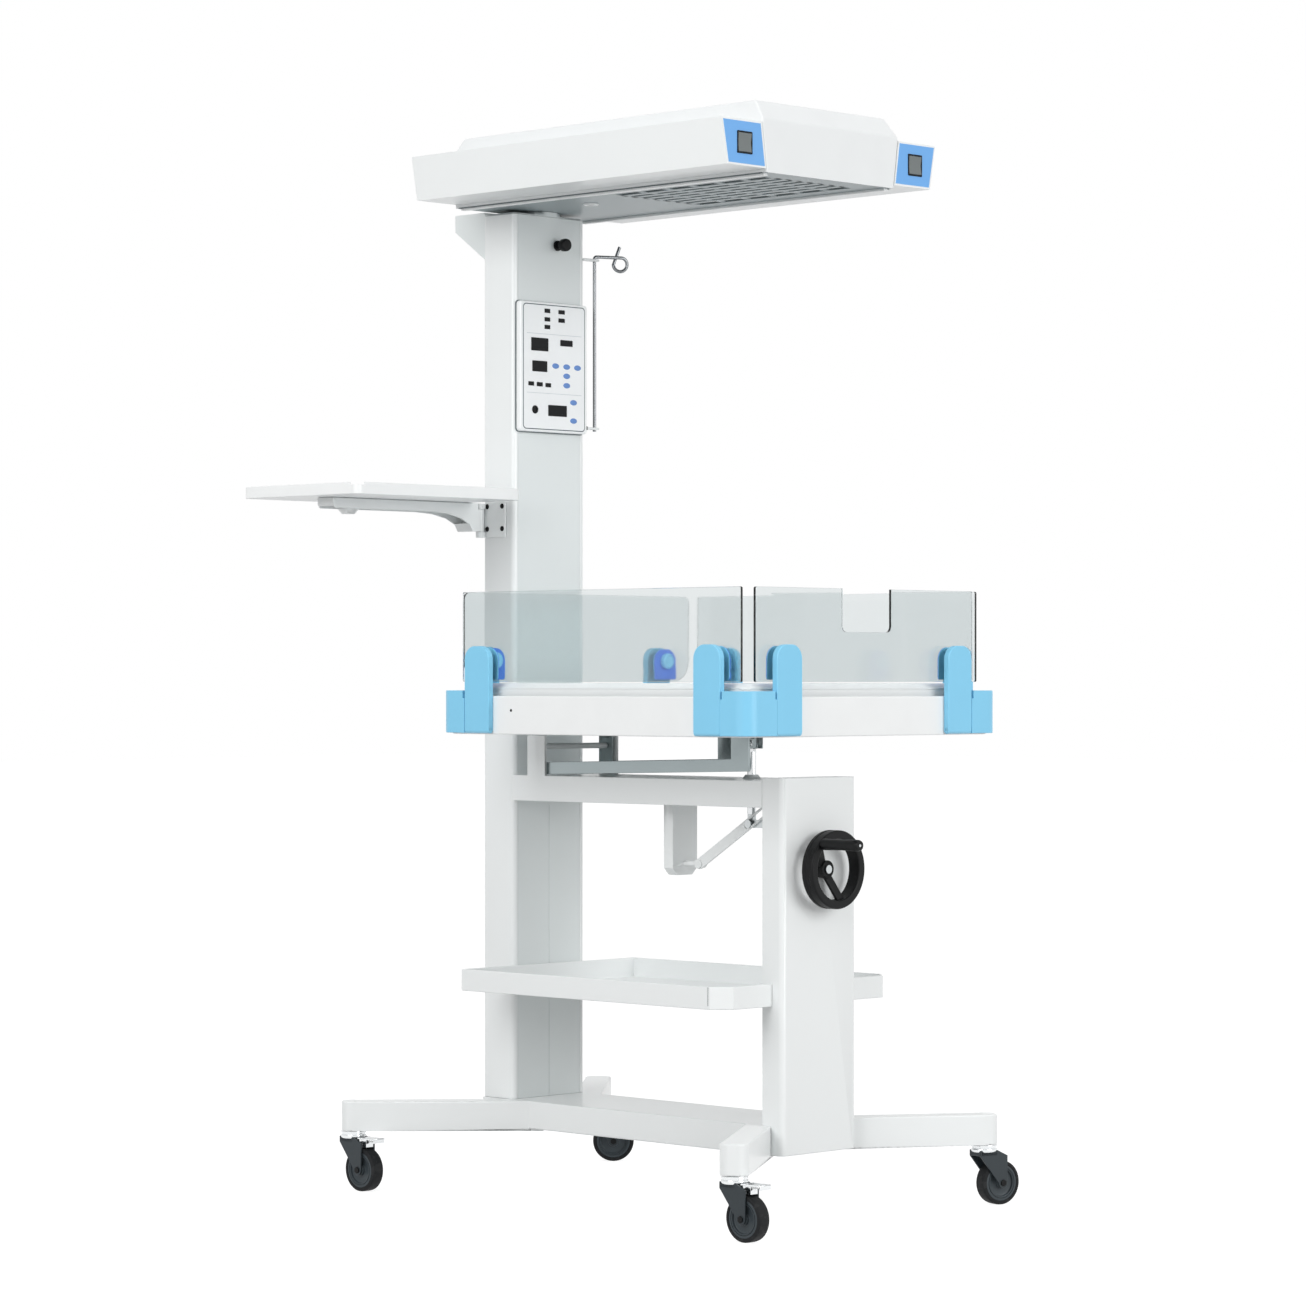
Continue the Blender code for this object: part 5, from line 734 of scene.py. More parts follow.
def wheel_matrix(place):
    axle = Matrix.Translation((0, TRAIL, AXLE_Z - CASTER_TOP))
    return caster_matrix(place) @ axle @ Matrix.Rotation(math.radians(90), 4, "Y")


print("axle height: %.4f m" % AXLE_Z)

# %% Wheels
def both_sides(profile):
    """A wheel profile mirrored to its far side and closed."""
    return profile + [(radius, -height) for radius, height in reversed(profile)]


TYRE = both_sides([(0.0305, 0.0085), (0.0305, 0.0112), (0.0313, 0.0120), (0.0338, 0.0120),
                   (0.0357, 0.0114), (0.0368, 0.0100), (AXLE_Z - 0.0001, 0.0078), (AXLE_Z, 0.0045)])
CORE = both_sides([(0.0043, 0.0120), (0.0085, 0.0120), (0.0095, 0.0112), (0.0102, 0.0075),
                   (0.0120, 0.0066), (0.0205, 0.0066), (0.0225, 0.0078), (0.0234, 0.0108),
                   (0.0240, 0.0112), (0.0252, 0.0112), (0.0256, 0.0096), (0.0262, 0.0096),
                   (0.0266, 0.0112), (0.0298, 0.0112), (0.0306, 0.0106)])

for place in CASTERS:
    node_name = "caster_wheel_" + place
    tyre = turned(TYRE + TYRE[:1], wheel_matrix(place), 72)
    show("tyre_" + place, tyre, RUBBER, body_of(node_name), [node_name])
    core = turned(CORE + CORE[:1], wheel_matrix(place), 72)
    show("wheel_core_" + place, core, HUB_GREY, body_of(node_name))

# %% Forks and swivel races
def fork_side(side):
    inner = side * 0.0135
    outer = inner + side * 0.003
    axle_z = AXLE_Z - CASTER_TOP
    outline = [(-0.018, -0.010), (-0.018, -0.020)] + arc((TRAIL, axle_z), 0.009, 180, 360, 14)
    outline += [(TRAIL + 0.009, -0.020), (0.016, -0.010)]
    return slab([outline], min(inner, outer), max(inner, outer), YZ, 0.0006)


RACE = [(0, -0.0135), (0.0190, -0.0135), (0.0205, -0.0128), (0.0218, -0.0110), (0.0220, -0.0085),
        (0.0214, -0.0072), (0.0200, -0.0066), (0.0200, -0.0052), (0.0216, -0.0046),
        (0.0220, -0.0030), (0.0216, -0.0008), (0.0208, -0.0003), (0, -0.0003)]
for place in CASTERS:
    body = body_of("caster_fork_" + place)
    crown = block((-0.0165, -0.018, -0.0195), (0.0165, 0.016, -0.0105), 0.0012)
    fork = merged(fork_side(-1), fork_side(1), crown)
    fork.transform(caster_matrix(place))
    show("fork_" + place, fork, FORK_GREY, body, ["caster_fork_" + place])
    race = turned(RACE, caster_matrix(place), 48)
    show("swivel_race_" + place, race, CHROME, body)

# %% Axle bolts
HEX = [(0.0058 * math.cos(math.radians(60 * i)), 0.0058 * math.sin(math.radians(60 * i)))
       for i in range(6)]
for place in CASTERS:
    heads = [slab([HEX], low, high, edge=0.0005)
             for low, high in ((0.0165, 0.0188), (-0.0188, -0.0165))]
    bolt = merged(*heads, rod((0, 0, -0.0165), (0, 0, 0.0165), 0.004))
    bolt.transform(wheel_matrix(place))
    show("axle_bolt_" + place, bolt, BLACK_PLASTIC, body_of("caster_fork_" + place))

# %% Brake pedals on the two braked casters
for place in ("front_left", "rear_left"):
    dress("brake_pedal_" + place, CHROME, 0.0004, shortest=0.006)

# %% [markdown]
# ## Handwheel and bed lift
# The handwheel is one black moulding: a deep rim with a shallow groove, a hub set back
# towards the post, and flat spokes that lean out to the rim. A torus is round in section
# and this rim isn't, so rim and hub are profiles spun round the shaft, and each spoke is
# a loft. A loose grip turns on a pin.

# %% Rim and hub
HUB = Vector((0.0, -0.3725, 0.570))
FACE_ON = Matrix.Translation(HUB) @ Matrix.Rotation(math.radians(90), 4, "X")
rim_profile = rounded(0.0505, 0.0645, -0.0125, 0.0125, (0.003,) * 4, 5)
groove = [(0.0645, -0.0050), (0.0637, -0.0041), (0.0637, 0.0041), (0.0645, 0.0050)]
rim_profile = rim_profile[:12] + groove + rim_profile[12:]
rim = turned(rim_profile + rim_profile[:1], FACE_ON, 96)
hub_profile = [(0.0065, -0.0290), (0.0137, -0.0290), (0.0145, -0.0282), (0.0145, -0.0123),
               (0.0138, -0.0115), (0.0112, -0.0115), (0.0104, -0.0124), (0.0065, -0.0124)]
hub = turned(hub_profile + hub_profile[:1], FACE_ON, 48)
print("handwheel: %.0f mm across" % (2000 * max(radius for radius, height in rim_profile)))

# %% Spokes
GRIP_ANGLE = 132.0


def spoke(angle):
    """A flat bar that leans from the hub's middle out to the rim's middle."""
    rings = []
    for share in (0.0, 0.25, 0.5, 0.75, 1.0):
        level = -0.0195 * (1 - share)
        ring = rounded(-0.0075, 0.0075, -0.003, 0.003, (0.0012,) * 4, 3)
        rings.append([(0.008 + 0.0450 * share, u, v + level) for u, v in ring])
    return loft(rings, FACE_ON @ Matrix.Rotation(math.radians(angle), 4, "Z"))


wheel = merged(rim, hub, spoke(288.0), spoke(GRIP_ANGLE))
show("handwheel_moulding", wheel, BLACK_PLASTIC, body_of("handwheel"), ["handwheel"])

# %% Grip, its pin and the shaft
GRIP = [(0.0030, 0.0), (0.0078, 0.0), (0.0092, 0.0014), (0.0095, 0.005), (0.0090, 0.022),
        (0.0087, 0.038), (0.0090, 0.058), (0.0095, 0.070), (0.0093, 0.0765), (0.0078, 0.0796),
        (0.0060, 0.0800), (0.0030, 0.0800)]
PIN_END = [(0, 0.06), (0.0025, 0.06), (0.0025, 0.0798), (0.0021, 0.0802), (0, 0.0802)]
grip_turn = math.radians(GRIP_ANGLE)
grip_at = HUB + 0.0575 * Vector((math.cos(grip_turn), 0, math.sin(grip_turn)))
grip_start = grip_at + Vector((0, -0.0130, 0))
grip_axis = along(grip_start, grip_start - Vector((0, 1, 0)))
grip = turned(GRIP + GRIP[:1], grip_axis, 36)
show("grip_moulding", grip, BLACK_PLASTIC, body_of("handwheel_grip"), ["handwheel_grip"])
show("grip_pin_end", turned(PIN_END, grip_axis, 20), ZINC, body_of("handwheel"))
for node_name in ("handwheel_shaft", "lead_screw", "lift_nut"):
    coat(node_name, ZINC)

# %% [markdown]
# The push rod is turned and plated. The link is a flat bar with a long slot, because the
# rod's foot rises straight while the link swings.

# %% Push rod and link
dress("push_rod", CHROME, 0.0004, shortest=0.008)
dress("tilt_link", WHITE, 0.0005, shortest=0.0006)

# %% [markdown]
# ## Bed
# The tray is a moulded shell. A stack of rounded outlines, each a little further in or
# up, makes its outer wall, its rim and its floor in one skin with eased edges.

# %% Trays as stacked outlines
def tray_rings(outline_at, low, high, floor, wall, edge, fillet):
    """Rings from the middle of the underside, over the rim, to the floor inside."""
    quarter = [math.radians(90 * i / 4) for i in range(5)]
    steps = [(edge * (1 - math.sin(t)), low + edge * (1 - math.cos(t))) for t in quarter]
    steps += [(edge * (1 - math.cos(t)), high - edge * (1 - math.sin(t))) for t in quarter]
    steps += [(wall - edge * (1 - math.sin(t)), high - edge * (1 - math.cos(t))) for t in quarter]
    steps += [(wall + fillet * (1 - math.cos(t)), floor + fillet * (1 - math.sin(t)))
              for t in quarter]
    return [[(x, y, z) for x, y in outline_at(inset)] for inset, z in steps]


def bed_outline(inset):
    half = 0.2977 - inset
    radius = max(0.017 - inset * 0.7, 0.004)
    return rounded(-half, half, -0.4562 + inset, 0.2305 - inset, (radius,) * 4)


bed_tray = loft(tray_rings(bed_outline, 0.789, 0.853, 0.829, 0.010, 0.0022, 0.004))
show("bed_shell", bed_tray, SHELL_WHITE, "bed", ["bed_tray"])
# A black disc on the tray's left side stands for a small hole: painted shade of the hole.
hole_shade = rod((-0.2972, 0.078, 0.829), (-0.2982, 0.078, 0.829), 0.0024, 0.0003, 20)
show("bed_side_hole_shade", hole_shade, BLACK_PLASTIC, "bed")

# %% [markdown]
# The pad is foam in a sewn cover. Sculpting its folds by hand would be slow, so a plain
# slab is remeshed and blown up a little by the cloth solver, which draws its sides in
# between the corners. A piping seam then runs round its upper edge.

# %% Filling a pad
def blown_up(guide, pressure, moments=20):
    """Let the cloth solver fill an object for some moments."""
    cloth = guide.modifiers.new("Fill", "CLOTH")
    cloth.settings.use_pressure = True
    cloth.settings.uniform_pressure_force = pressure
    cloth.settings.effector_weights.gravity = 0
    cloth.settings.quality = 4
    cloth.point_cache.frame_end = moments
    for moment in range(1, moments + 1):
        bpy.context.scene.frame_set(moment)
    soft = mesh_from(guide)
    bpy.context.scene.frame_set(1)
    return soft


def swollen(name, low, high, radius, pressure=3.0, limit=0.006):
    """A soft pad between two corners, filled by the cloth solver."""
    outline = rounded(low[0], high[0], low[1], high[1], (radius,) * 4, 6)
    guide = in_scene(name, mesh_of(name, slab([outline], low[2], high[2], edge=0.005, steps=3)))
    remesh = guide.modifiers.new("Even faces", "REMESH")
    remesh.mode = "VOXEL"
    remesh.voxel_size = 0.0055
    mesh = mesh_from(guide)
    start = [vertex.co.copy() for vertex in mesh.vertices]
    soft = blown_up(in_scene(name, mesh), pressure)
    for vertex, home in zip(soft.vertices, start):
        step = vertex.co - home
        if step.length > limit:
            vertex.co = home + step * (limit / step.length)
        vertex.co.z = max(vertex.co.z, low[2])
    return soft

# %% The mattress
PAD_LOW = Vector((-0.2845, -0.4430, 0.8294))
PAD_HIGH = Vector((0.2845, 0.2173, 0.8680))
PAD_RADIUS = 0.020
pad_mesh = swollen("pad", PAD_LOW, PAD_HIGH, PAD_RADIUS)
print("pad top: %.4f m" % max(vertex.co.z for vertex in pad_mesh.vertices))
pad_skin = BVHTree.FromPolygons([vertex.co for vertex in pad_mesh.vertices],
                                [face.vertices for face in pad_mesh.polygons])
pad = show("mattress_pad", pad_mesh, COVER_CLOTH, "bed", ["mattress"], sharp=180.0)

# %% A tree for wire and piping
def wire_tree(look):
    """A round wire along a line of points, closed where the line is closed."""
    tree, size = new_tree("bent wire", {"Radius": 0.003})
    line = node(tree, "GeometryNodeMeshToCurve", None, {"Mesh": size["Geometry"]})
    ring = node(tree, "GeometryNodeCurvePrimitiveCircle", None,
                {"Resolution": 16, "Radius": size["Radius"]})
    wire = node(tree, "GeometryNodeCurveToMesh", None,
                {"Curve": line, "Profile Curve": ring, "Fill Caps": True})
    end_tree(tree, wire, look)
    return tree


def bent_wire(route, radius, look, closed=False):
    """The shape of a wire along a route of points."""
    line = bpy.data.meshes.new("route")
    steps = [(i, i + 1) for i in range(len(route) - 1)]
    if closed:
        steps.append((len(route) - 1, 0))
    line.from_pydata(route, steps, [])
    return tidied(bm_from(grown(wire_tree(look), line, {"Radius": radius})))

# %% The pad's piping
def seam_route(outward, height, spacing=0.012):
    """A closed route that lies on the pad's skin near its upper edge."""
    corners = rounded(PAD_LOW.x - outward, PAD_HIGH.x + outward, PAD_LOW.y - outward,
                      PAD_HIGH.y + outward, (PAD_RADIUS + outward,) * 4, 6)
    route = []
    for (x0, y0), (x1, y1) in zip(corners, corners[1:] + corners[:1]):
        count = max(1, round(math.hypot(x1 - x0, y1 - y0) / spacing))
        for i in range(count):
            place = Vector((x0 + (x1 - x0) * i / count, y0 + (y1 - y0) * i / count, height))
            route.append(pad_skin.find_nearest(place)[0])
    return route


piping = bent_wire(seam_route(0.006, PAD_HIGH.z + 0.003), 0.0012, COVER_CLOTH, closed=True)
show("pad_piping", piping, COVER_CLOTH, "bed", sharp=180.0)

# %% [markdown]
# Blue fittings wrap the bed's corners, with a panel arm each side. Each arm is a slab
# with a round top over a hinge barrel. The clear panel stands off the arm on a round
# spacer, and a knob with ridges clamps it there with a plate, light blue on the panel's
# side and deep blue towards the bed, where the deep blue is partly painted shade of the
# plates' inner faces.

# %% Corner fittings
FITTING = 0.011
GAP = 0.0003
BED_X = 0.309
BED_ENDS = {"front": -0.4675, "rear": 0.2418}
ARM_X = 0.208
ARM_Y = {"front": -0.381, "rear": 0.150}
ARM_HALF = 0.0295
CORNER = 0.028
STEP = (0.849, 0.864)


def corner_outline(edge_y, side_y, end_x, end_y):
    """The right-hand fitting from above: a bent band with its inner corner eased."""
    centre = (BED_X - CORNER, edge_y - side_y * CORNER)
    outline = [(BED_X - FITTING, end_y), (BED_X, end_y)]
    outline += arc(centre, CORNER, 0, side_y * 90, 10)
    outline += [(end_x, edge_y), (end_x, edge_y - side_y * FITTING)]
    return outline + arc(centre, CORNER - FITTING, side_y * 90, 0, 10)


for name_y, edge_y in BED_ENDS.items():
    for name_x, side_x in (("left", -1), ("right", 1)):
        side_y = -1 if name_y == "front" else 1
        end_x = ARM_X + ARM_HALF + GAP
        end_y = ARM_Y[name_y] + side_y * (ARM_HALF + GAP)
        outline = [(side_x * u, v) for u, v in corner_outline(edge_y, side_y, end_x, end_y)]
        band = slab([outline], 0.791, 0.862, edge=0.0013)
        step_x = span_block((side_x * (end_x - 0.002), side_x * (end_x + 0.004)),
                            (edge_y - side_y * 0.022, edge_y + side_y * 0.011), STEP)
        step_y = span_block((side_x * (BED_X - 0.022), side_x * (BED_X + 0.011)),
                            (end_y - side_y * 0.002, end_y + side_y * 0.004), STEP)
        place = name_y + "_" + name_x
        show("corner_fitting_" + place, carved(band, step_x, step_y), LIGHT_BLUE, "bed",
             ["bed_corner_" + place])

# %% Where the bed's sides are
# For each side: its turn, its pivot line's middle, and the places of its arms along it
SIDES = {
    "rear": (0.0, (0, BED_ENDS["rear"], 0), {"left": -ARM_X, "right": ARM_X}),
    "front": (180.0, (0, BED_ENDS["front"], 0), {"left": ARM_X, "right": -ARM_X}),
    "left": (90.0, (-BED_X, 0, 0), {"front": ARM_Y["front"], "rear": ARM_Y["rear"]}),
    "right": (-90.0, (BED_X, 0, 0), {"front": -ARM_Y["front"], "rear": -ARM_Y["rear"]}),
}
PIVOT_Z = 0.796
KNOB_Z = 0.9125
SPACER = 0.010
PANEL_OUTER = -FITTING - SPACER - GAP
PANEL_INNER = PANEL_OUTER - 0.005


def side_matrix(side):
    angle, offset, _ = SIDES[side]
    return Matrix.Translation(offset) @ Matrix.Rotation(math.radians(angle), 4, "Z")


print("panels lie %.1f to %.1f mm inside the arms' outer faces"
      % (-1000 * PANEL_OUTER, -1000 * PANEL_INNER))

# %% A tree for knob ridges
def knob_tree(look):
    """A turned knob with ridges round it."""
    tree, size = new_tree("knob ridges", {"Radius": 0.0128, "Depth": 0.008, "Ridge": 0.0011})
    ring = node(tree, "GeometryNodeMeshCircle", None, {"Vertices": 18, "Radius": size["Radius"]})
    ridge = node(tree, "GeometryNodeMeshCylinder", None,
                 {"Vertices": 10, "Radius": size["Ridge"], "Depth": size["Depth"]})
    ridges = node(tree, "GeometryNodeInstanceOnPoints", None, {"Points": ring, "Instance": ridge})
    whole = node(tree, "GeometryNodeJoinGeometry", None, {0: [ridges, size["Geometry"]]})
    end_tree(tree, whole, look)
    return tree


KNOB_RIDGES = knob_tree(LIGHT_BLUE)
KNOB_RADIUS = 0.0128
KNOB = [(0, -0.0045), (0.0118, -0.0045), (KNOB_RADIUS, -0.0036), (KNOB_RADIUS, 0.0030),
        (0.0118, 0.0042), (0.0102, 0.0045), (0.0096, 0.0038), (0, 0.0034)]


def knob_shape(matrix):
    """One ridged knob, facing along the matrix's Z axis."""
    sizes = {"Radius": KNOB_RADIUS, "Depth": 0.0074, "Ridge": 0.0011}
    bm = bm_from(grown(KNOB_RIDGES, mesh_of("knob", turned(KNOB, steps=48)), sizes))
    bm.transform(matrix)
    return bm

# %% Panel arms
def arm_shape(at):
    """A round-topped slab on a hinge barrel, with the panel's spacer."""
    outline = rounded(at - ARM_HALF, at + ARM_HALF, PIVOT_Z, 0.936, (0, 0, 0.023, 0.023), 10)
    arm = slab([outline], -FITTING, 0.0, XZ, 0.0016, 3)
    foot = rod((at - ARM_HALF, -FITTING / 2, PIVOT_Z), (at + ARM_HALF, -FITTING / 2, PIVOT_Z),
               0.0055, 0.0014)
    spacer = rod((at, -FITTING + 0.001, KNOB_Z), (at, -FITTING - SPACER, KNOB_Z), 0.010, 0.0008, 36)
    return merged(arm, foot, spacer)


for side, (_, _, ends) in SIDES.items():
    for end, at in ends.items():
        place = side + "_" + end
        arm = arm_shape(at)
        arm.transform(side_matrix(side))
        show("arm_" + place, arm, LIGHT_BLUE, body_of("panel_arm_" + place),
             ["panel_arm_" + place])

# %% Clamp plates and knobs
def into_bed(at, depth):
    """The matrix of a round piece that faces the bed's middle from a depth."""
    return along((at, PANEL_INNER - depth, KNOB_Z), (at, PANEL_INNER - 1, KNOB_Z))


def clamp_plate(at, near, far, edge):
    outline = rounded(at - 0.0270, at + 0.0270, 0.8800, 0.9335, (0.004, 0.004, 0.021, 0.021), 8)
    return slab([outline], PANEL_INNER - far, PANEL_INNER - near, XZ, edge)


COLLAR = [(0, 0), (0.0115, 0), (0.0115, 0.0016), (0.0098, 0.0026), (0, 0.0026)]
for side, (_, _, ends) in SIDES.items():
    matrix = side_matrix(side)
    for end, at in ends.items():
        place = side + "_" + end
        body = body_of("panel_arm_" + place)
        backing = clamp_plate(at, 0.0001, 0.0013, 0.0004)
        collar = turned(COLLAR, into_bed(at, 0.0024), 36)
        clamp = merged(clamp_plate(at, 0.0014, 0.0027, 0.0005), collar)
        for shape in (backing, clamp):
            shape.transform(matrix)
        # Light blue backing towards the panel, deep blue clamp towards the bed: partly painted
        # shade on the inner side.
        show("clamp_backing_" + place, backing, LIGHT_BLUE, body)
        show("clamp_" + place, clamp, DEEP_BLUE_AND_SHADE, body)
        knob = knob_shape(matrix @ into_bed(at, 0.0085))
        show("knob_" + place, knob, LIGHT_BLUE, body)

# %% [markdown]
# Each clear panel is a flat sheet with a hole for each clamp. The front one has a notch
# in its upper edge, and the rear one has large round lower corners. The holes go all the
# way through, so a slab with its rims eased is all it takes.

# %% Clear panels
SPANS = {"rear": (-0.272, 0.272), "front": (-0.2645, 0.2645),
         "left": (-0.4355, 0.2066), "right": (-0.2066, 0.4355)}
PANEL_Z = (0.8763, 1.027)
NOTCH_X = 0.059
NOTCH_DEPTH = 0.070
NOTCH_RADIUS = 0.010


def panel_outline(side):
    start, end = SPANS[side]
    radii = (0.040, 0.040, 0.012, 0.012) if side == "rear" else (0.003,) * 4
    points = rounded(start, end, *PANEL_Z, radii)
    if side == "front":
        top = PANEL_Z[1]
        centre_x, centre_z = NOTCH_X - NOTCH_RADIUS, top - NOTCH_DEPTH + NOTCH_RADIUS
        notch = [(NOTCH_X, top)] + arc((centre_x, centre_z), NOTCH_RADIUS, 0, -90)
        notch += arc((-centre_x, centre_z), NOTCH_RADIUS, 270, 180) + [(-NOTCH_X, top)]
        points = points[:27] + notch + points[27:]
    return points


for side in SPANS:
    node_name = "panel_" + side
    holes = [circle((at, KNOB_Z), 0.0033, 20) for at in SIDES[side][2].values()]
    sheet = slab([panel_outline(side)] + holes, PANEL_INNER, PANEL_OUTER, XZ, 0.0006, 1)
    sheet.transform(side_matrix(side))
    show("clear_" + node_name, sheet, CLEAR, body_of(node_name), [node_name])

# %% [markdown]
# ## Heater head
# The hood is a long tapering shell whose top is cut back at both ends. It is lofted from
# sections along its length. A slanted rail runs down each side, and ends in a blue cap
# with a rocker switch in a black frame.

# %% Hood
HEAD = 0.3686
HOOD_LOW = 1.6958
HOOD_EAVE = 1.7765
HOOD_TOP = 1.8145
HOOD_ENDS = (0.1648, 1.7815)
HOOD_RIDGE = (0.157, HOOD_TOP)
CUT_BACK = 0.024


def hood_section(y, half_top, top):
    return [(-0.155, y, HOOD_LOW), (0.155, y, HOOD_LOW), (0.166, y, HOOD_EAVE),
            (half_top, y, top), (-half_top, y, top), (-0.166, y, HOOD_EAVE)]


def edges_over(bm, angle):
    """The edges whose faces meet at more than an angle in degrees."""
    return [edge for edge in bm.edges
            if len(edge.link_faces) == 2 and edge.calc_face_angle() > math.radians(angle)]


hood = loft([hood_section(-HEAD, *HOOD_ENDS), hood_section(-HEAD + CUT_BACK, *HOOD_RIDGE),
             hood_section(HEAD - CUT_BACK, *HOOD_RIDGE), hood_section(HEAD, *HOOD_ENDS)])
underside = [face for face in hood.faces if face.normal.z < -0.9]
bmesh.ops.delete(hood, geom=underside, context="FACES_ONLY")
bevelled(hood, edges_over(hood, 12.0), 0.0035, 3)
guide = in_scene("hood", mesh_of("hood", hood))
walls = guide.modifiers.new("Walls", "SOLIDIFY")
walls.thickness = 0.0025
walls.offset = -1.0
show("hood_shell", mesh_from(guide), SHADED_HOOD_WHITE, "heater", ["heater_hood"])

# %% Rails
RAIL_LOW = 1.7015
RAIL_HIGH = 1.7755
LEFT_RIGHT = (("left", -1), ("right", 1))


def rail_outline(side, inset=0.0):
    points = [(0.1563 + inset, RAIL_LOW + inset), (0.247 - inset, RAIL_LOW + inset),
              (0.260 - inset, RAIL_HIGH - inset), (0.1664 + inset, RAIL_HIGH - inset)]
    return [(side * x, z) for x, z in points]


for name, side in LEFT_RIGHT:
    rail = slab([rail_outline(side)], -HEAD + 0.0043, HEAD, XZ)
    far_edges = [edge for edge in rail.edges if edge.calc_face_angle() > 1.0
                 and all(vert.co.y > HEAD - CLOSE for vert in edge.verts)]
    bevelled(rail, far_edges, 0.006, 4)
    show("rail_" + name, rail, WHITE, "heater", ["heater_rail_" + name])
    seam = span_block((side * 0.1652, side * 0.1670), (-0.345, 0.345), (1.7748, 1.7764))
    show("rail_seam_" + name, seam, SEAM_AND_SHADOW_DARK, "heater")

# %% Rail end caps
for name, side in LEFT_RIGHT:
    x = sum(corner[0] for corner in rail_outline(side)) / 4
    z = (RAIL_LOW + RAIL_HIGH) / 2
    opening = rounded(x - 0.0153, x + 0.0153, z - 0.0163, z + 0.0163, (0.0005,) * 4, 1)
    cap = slab([rail_outline(side, 0.003), opening], -HEAD, -HEAD + 0.004, XZ, 0.0008)
    show("end_cap_" + name, cap, CAP_BLUE, "heater", ["rail_end_cap_" + name])
    border = slab([rail_outline(side), rail_outline(side, 0.0031)],
                  -HEAD + 0.0005, -HEAD + 0.0043, XZ)
    show("cap_border_" + name, border, WHITE, "heater")

# %% Rocker switches
ROCKER = [(-0.0155, -0.0006), (-0.0148, -0.0018), (0, -0.0002), (0.0148, -0.0018),
          (0.0155, -0.0006), (0.0155, 0.006), (-0.0155, 0.006)]
for name, side in LEFT_RIGHT:
    x = sum(corner[0] for corner in rail_outline(side)) / 4
    z = (RAIL_LOW + RAIL_HIGH) / 2
    rims = [rounded(x - w, x + w, z - h, z + h, (r,) * 4, 3)
            for w, h, r in ((0.0175, 0.0180, 0.0012), (0.0153, 0.0163, 0.0006))]
    frame_ring = slab(rims, -HEAD - 0.0012, -HEAD + 0.001, XZ, 0.0004)
    show("switch_frame_" + name, frame_ring, BLACK_PLASTIC, "heater")
    rocker = slab([[(-HEAD + v, z + u) for u, v in ROCKER]], x - 0.0150, x + 0.0150, YZ, 0.0003, 1)
    node_name = "rocker_switch_" + name
    show("rocker_" + name, rocker, SWITCH_GREY, body_of(node_name), [node_name])

# %% [markdown]
# The underside is a pressed plate with a window, and bars across it keep hands off the
# heating rod. Geometry Nodes lay the bars: one tree takes a row of points, and puts a
# round-edged bar of a given length on each.

# %% A tree for bars
def bar_tree(look):
    """Bars across a row of points, along X or Y by their sizes."""
    tree, size = new_tree("grille bars", {"Width": 0.005, "Length": 0.3, "Depth": 0.003})
    box_size = xyz(tree, size["Width"], size["Length"], size["Depth"])
    bar = node(tree, "GeometryNodeMeshCube", None, {"Size": box_size})
    bars = node(tree, "GeometryNodeInstanceOnPoints", None,
                {"Points": size["Geometry"], "Instance": bar})
    end_tree(tree, bars, look)
    return tree


BARS = bar_tree(UNDERSIDE_GREY)


def grille_bars(points, width, length, depth):
    sizes = {"Width": width, "Length": length, "Depth": depth}
    bm = bm_from(grown(BARS, points_at(points), sizes))
    return bevelled(bm, edges_over(bm, 30.0), 0.0006, 1)

# %% Grille
WINDOW_X = 0.1045
WINDOW_Y = (-0.323, 0.033)
step_x = 2 * WINDOW_X / 8
step_y = (WINDOW_Y[1] - WINDOW_Y[0]) / 6
middle_y = sum(WINDOW_Y) / 2
print("bars every %.1f mm across and %.1f mm along" % (1000 * step_x, 1000 * step_y))
lengthwise = grille_bars([(-WINDOW_X + step_x * i, middle_y, 1.6976) for i in range(1, 8)],
                         step_x * 0.56, WINDOW_Y[1] - WINDOW_Y[0] + 0.002, 0.0030)
crosswise = grille_bars([(0, WINDOW_Y[0] + step_y * i, 1.6979) for i in range(1, 6)],
                        2 * WINDOW_X + 0.002, step_y * 0.20, 0.0024)
window_x = WINDOW_X + step_x * 0.28 - 0.0066
window = rounded(-window_x, window_x, WINDOW_Y[0] + 0.006, WINDOW_Y[1] - 0.006, (0.002,) * 4, 3)
edge_x = 0.1522
edge_y = HEAD - 0.0028
plate = slab([rounded(-edge_x, edge_x, -edge_y, edge_y, (0.001,) * 4, 2), window,
              circle((0, 0.333), 0.0153)], 1.6961, 1.6991, edge=0.0005)
show("grille_plate", merged(plate, lengthwise, crosswise), UNDERSIDE_GREY, "heater",
     ["heater_grille"])

# %% Trims and boss below the head, reflector and heating rod
TRIM_Y = (-0.358, 0.358)
for name, side in LEFT_RIGHT:
    trim = span_block((side * 0.1415, side * 0.1515), TRIM_Y, (1.6918, 1.6963), 0.0012)
    show("underside_trim_" + name, trim, SHELL_WHITE, "heater")
    # A dark strip in the gap between each trim and its rail: painted shadow.
    shade = span_block((side * 0.1518, side * 0.1560), TRIM_Y, (1.6950, 1.6964))
    show("underside_shadow_strip_" + name, shade, SEAM_AND_SHADOW_DARK, "heater")
BOSS = [(0.0085, 1.6962), (0.0085, 1.6942), (0.0095, 1.6934), (0.0118, 1.6934), (0.0130, 1.6944),
        (0.0130, 1.6962)]
boss = turned(BOSS + BOSS[:1], Matrix.Translation((-0.040, 0.150, 0)), 40)
show("light_ring", boss, SHELL_WHITE, "heater")
coat("reflector", DULL_STEEL)
coat("heating_element", ELEMENT)

# %% [markdown]
# ## Column fittings
# The swivel lock is a small black knob on the column's face. The control panel is a
# moulded frame with a printed film: dark windows for the readings and oval keys. The film
# carries no words here. Windows and lines are thin slabs. The keys are domes, which come
# from one tree, with the size of each as an attribute of its point.

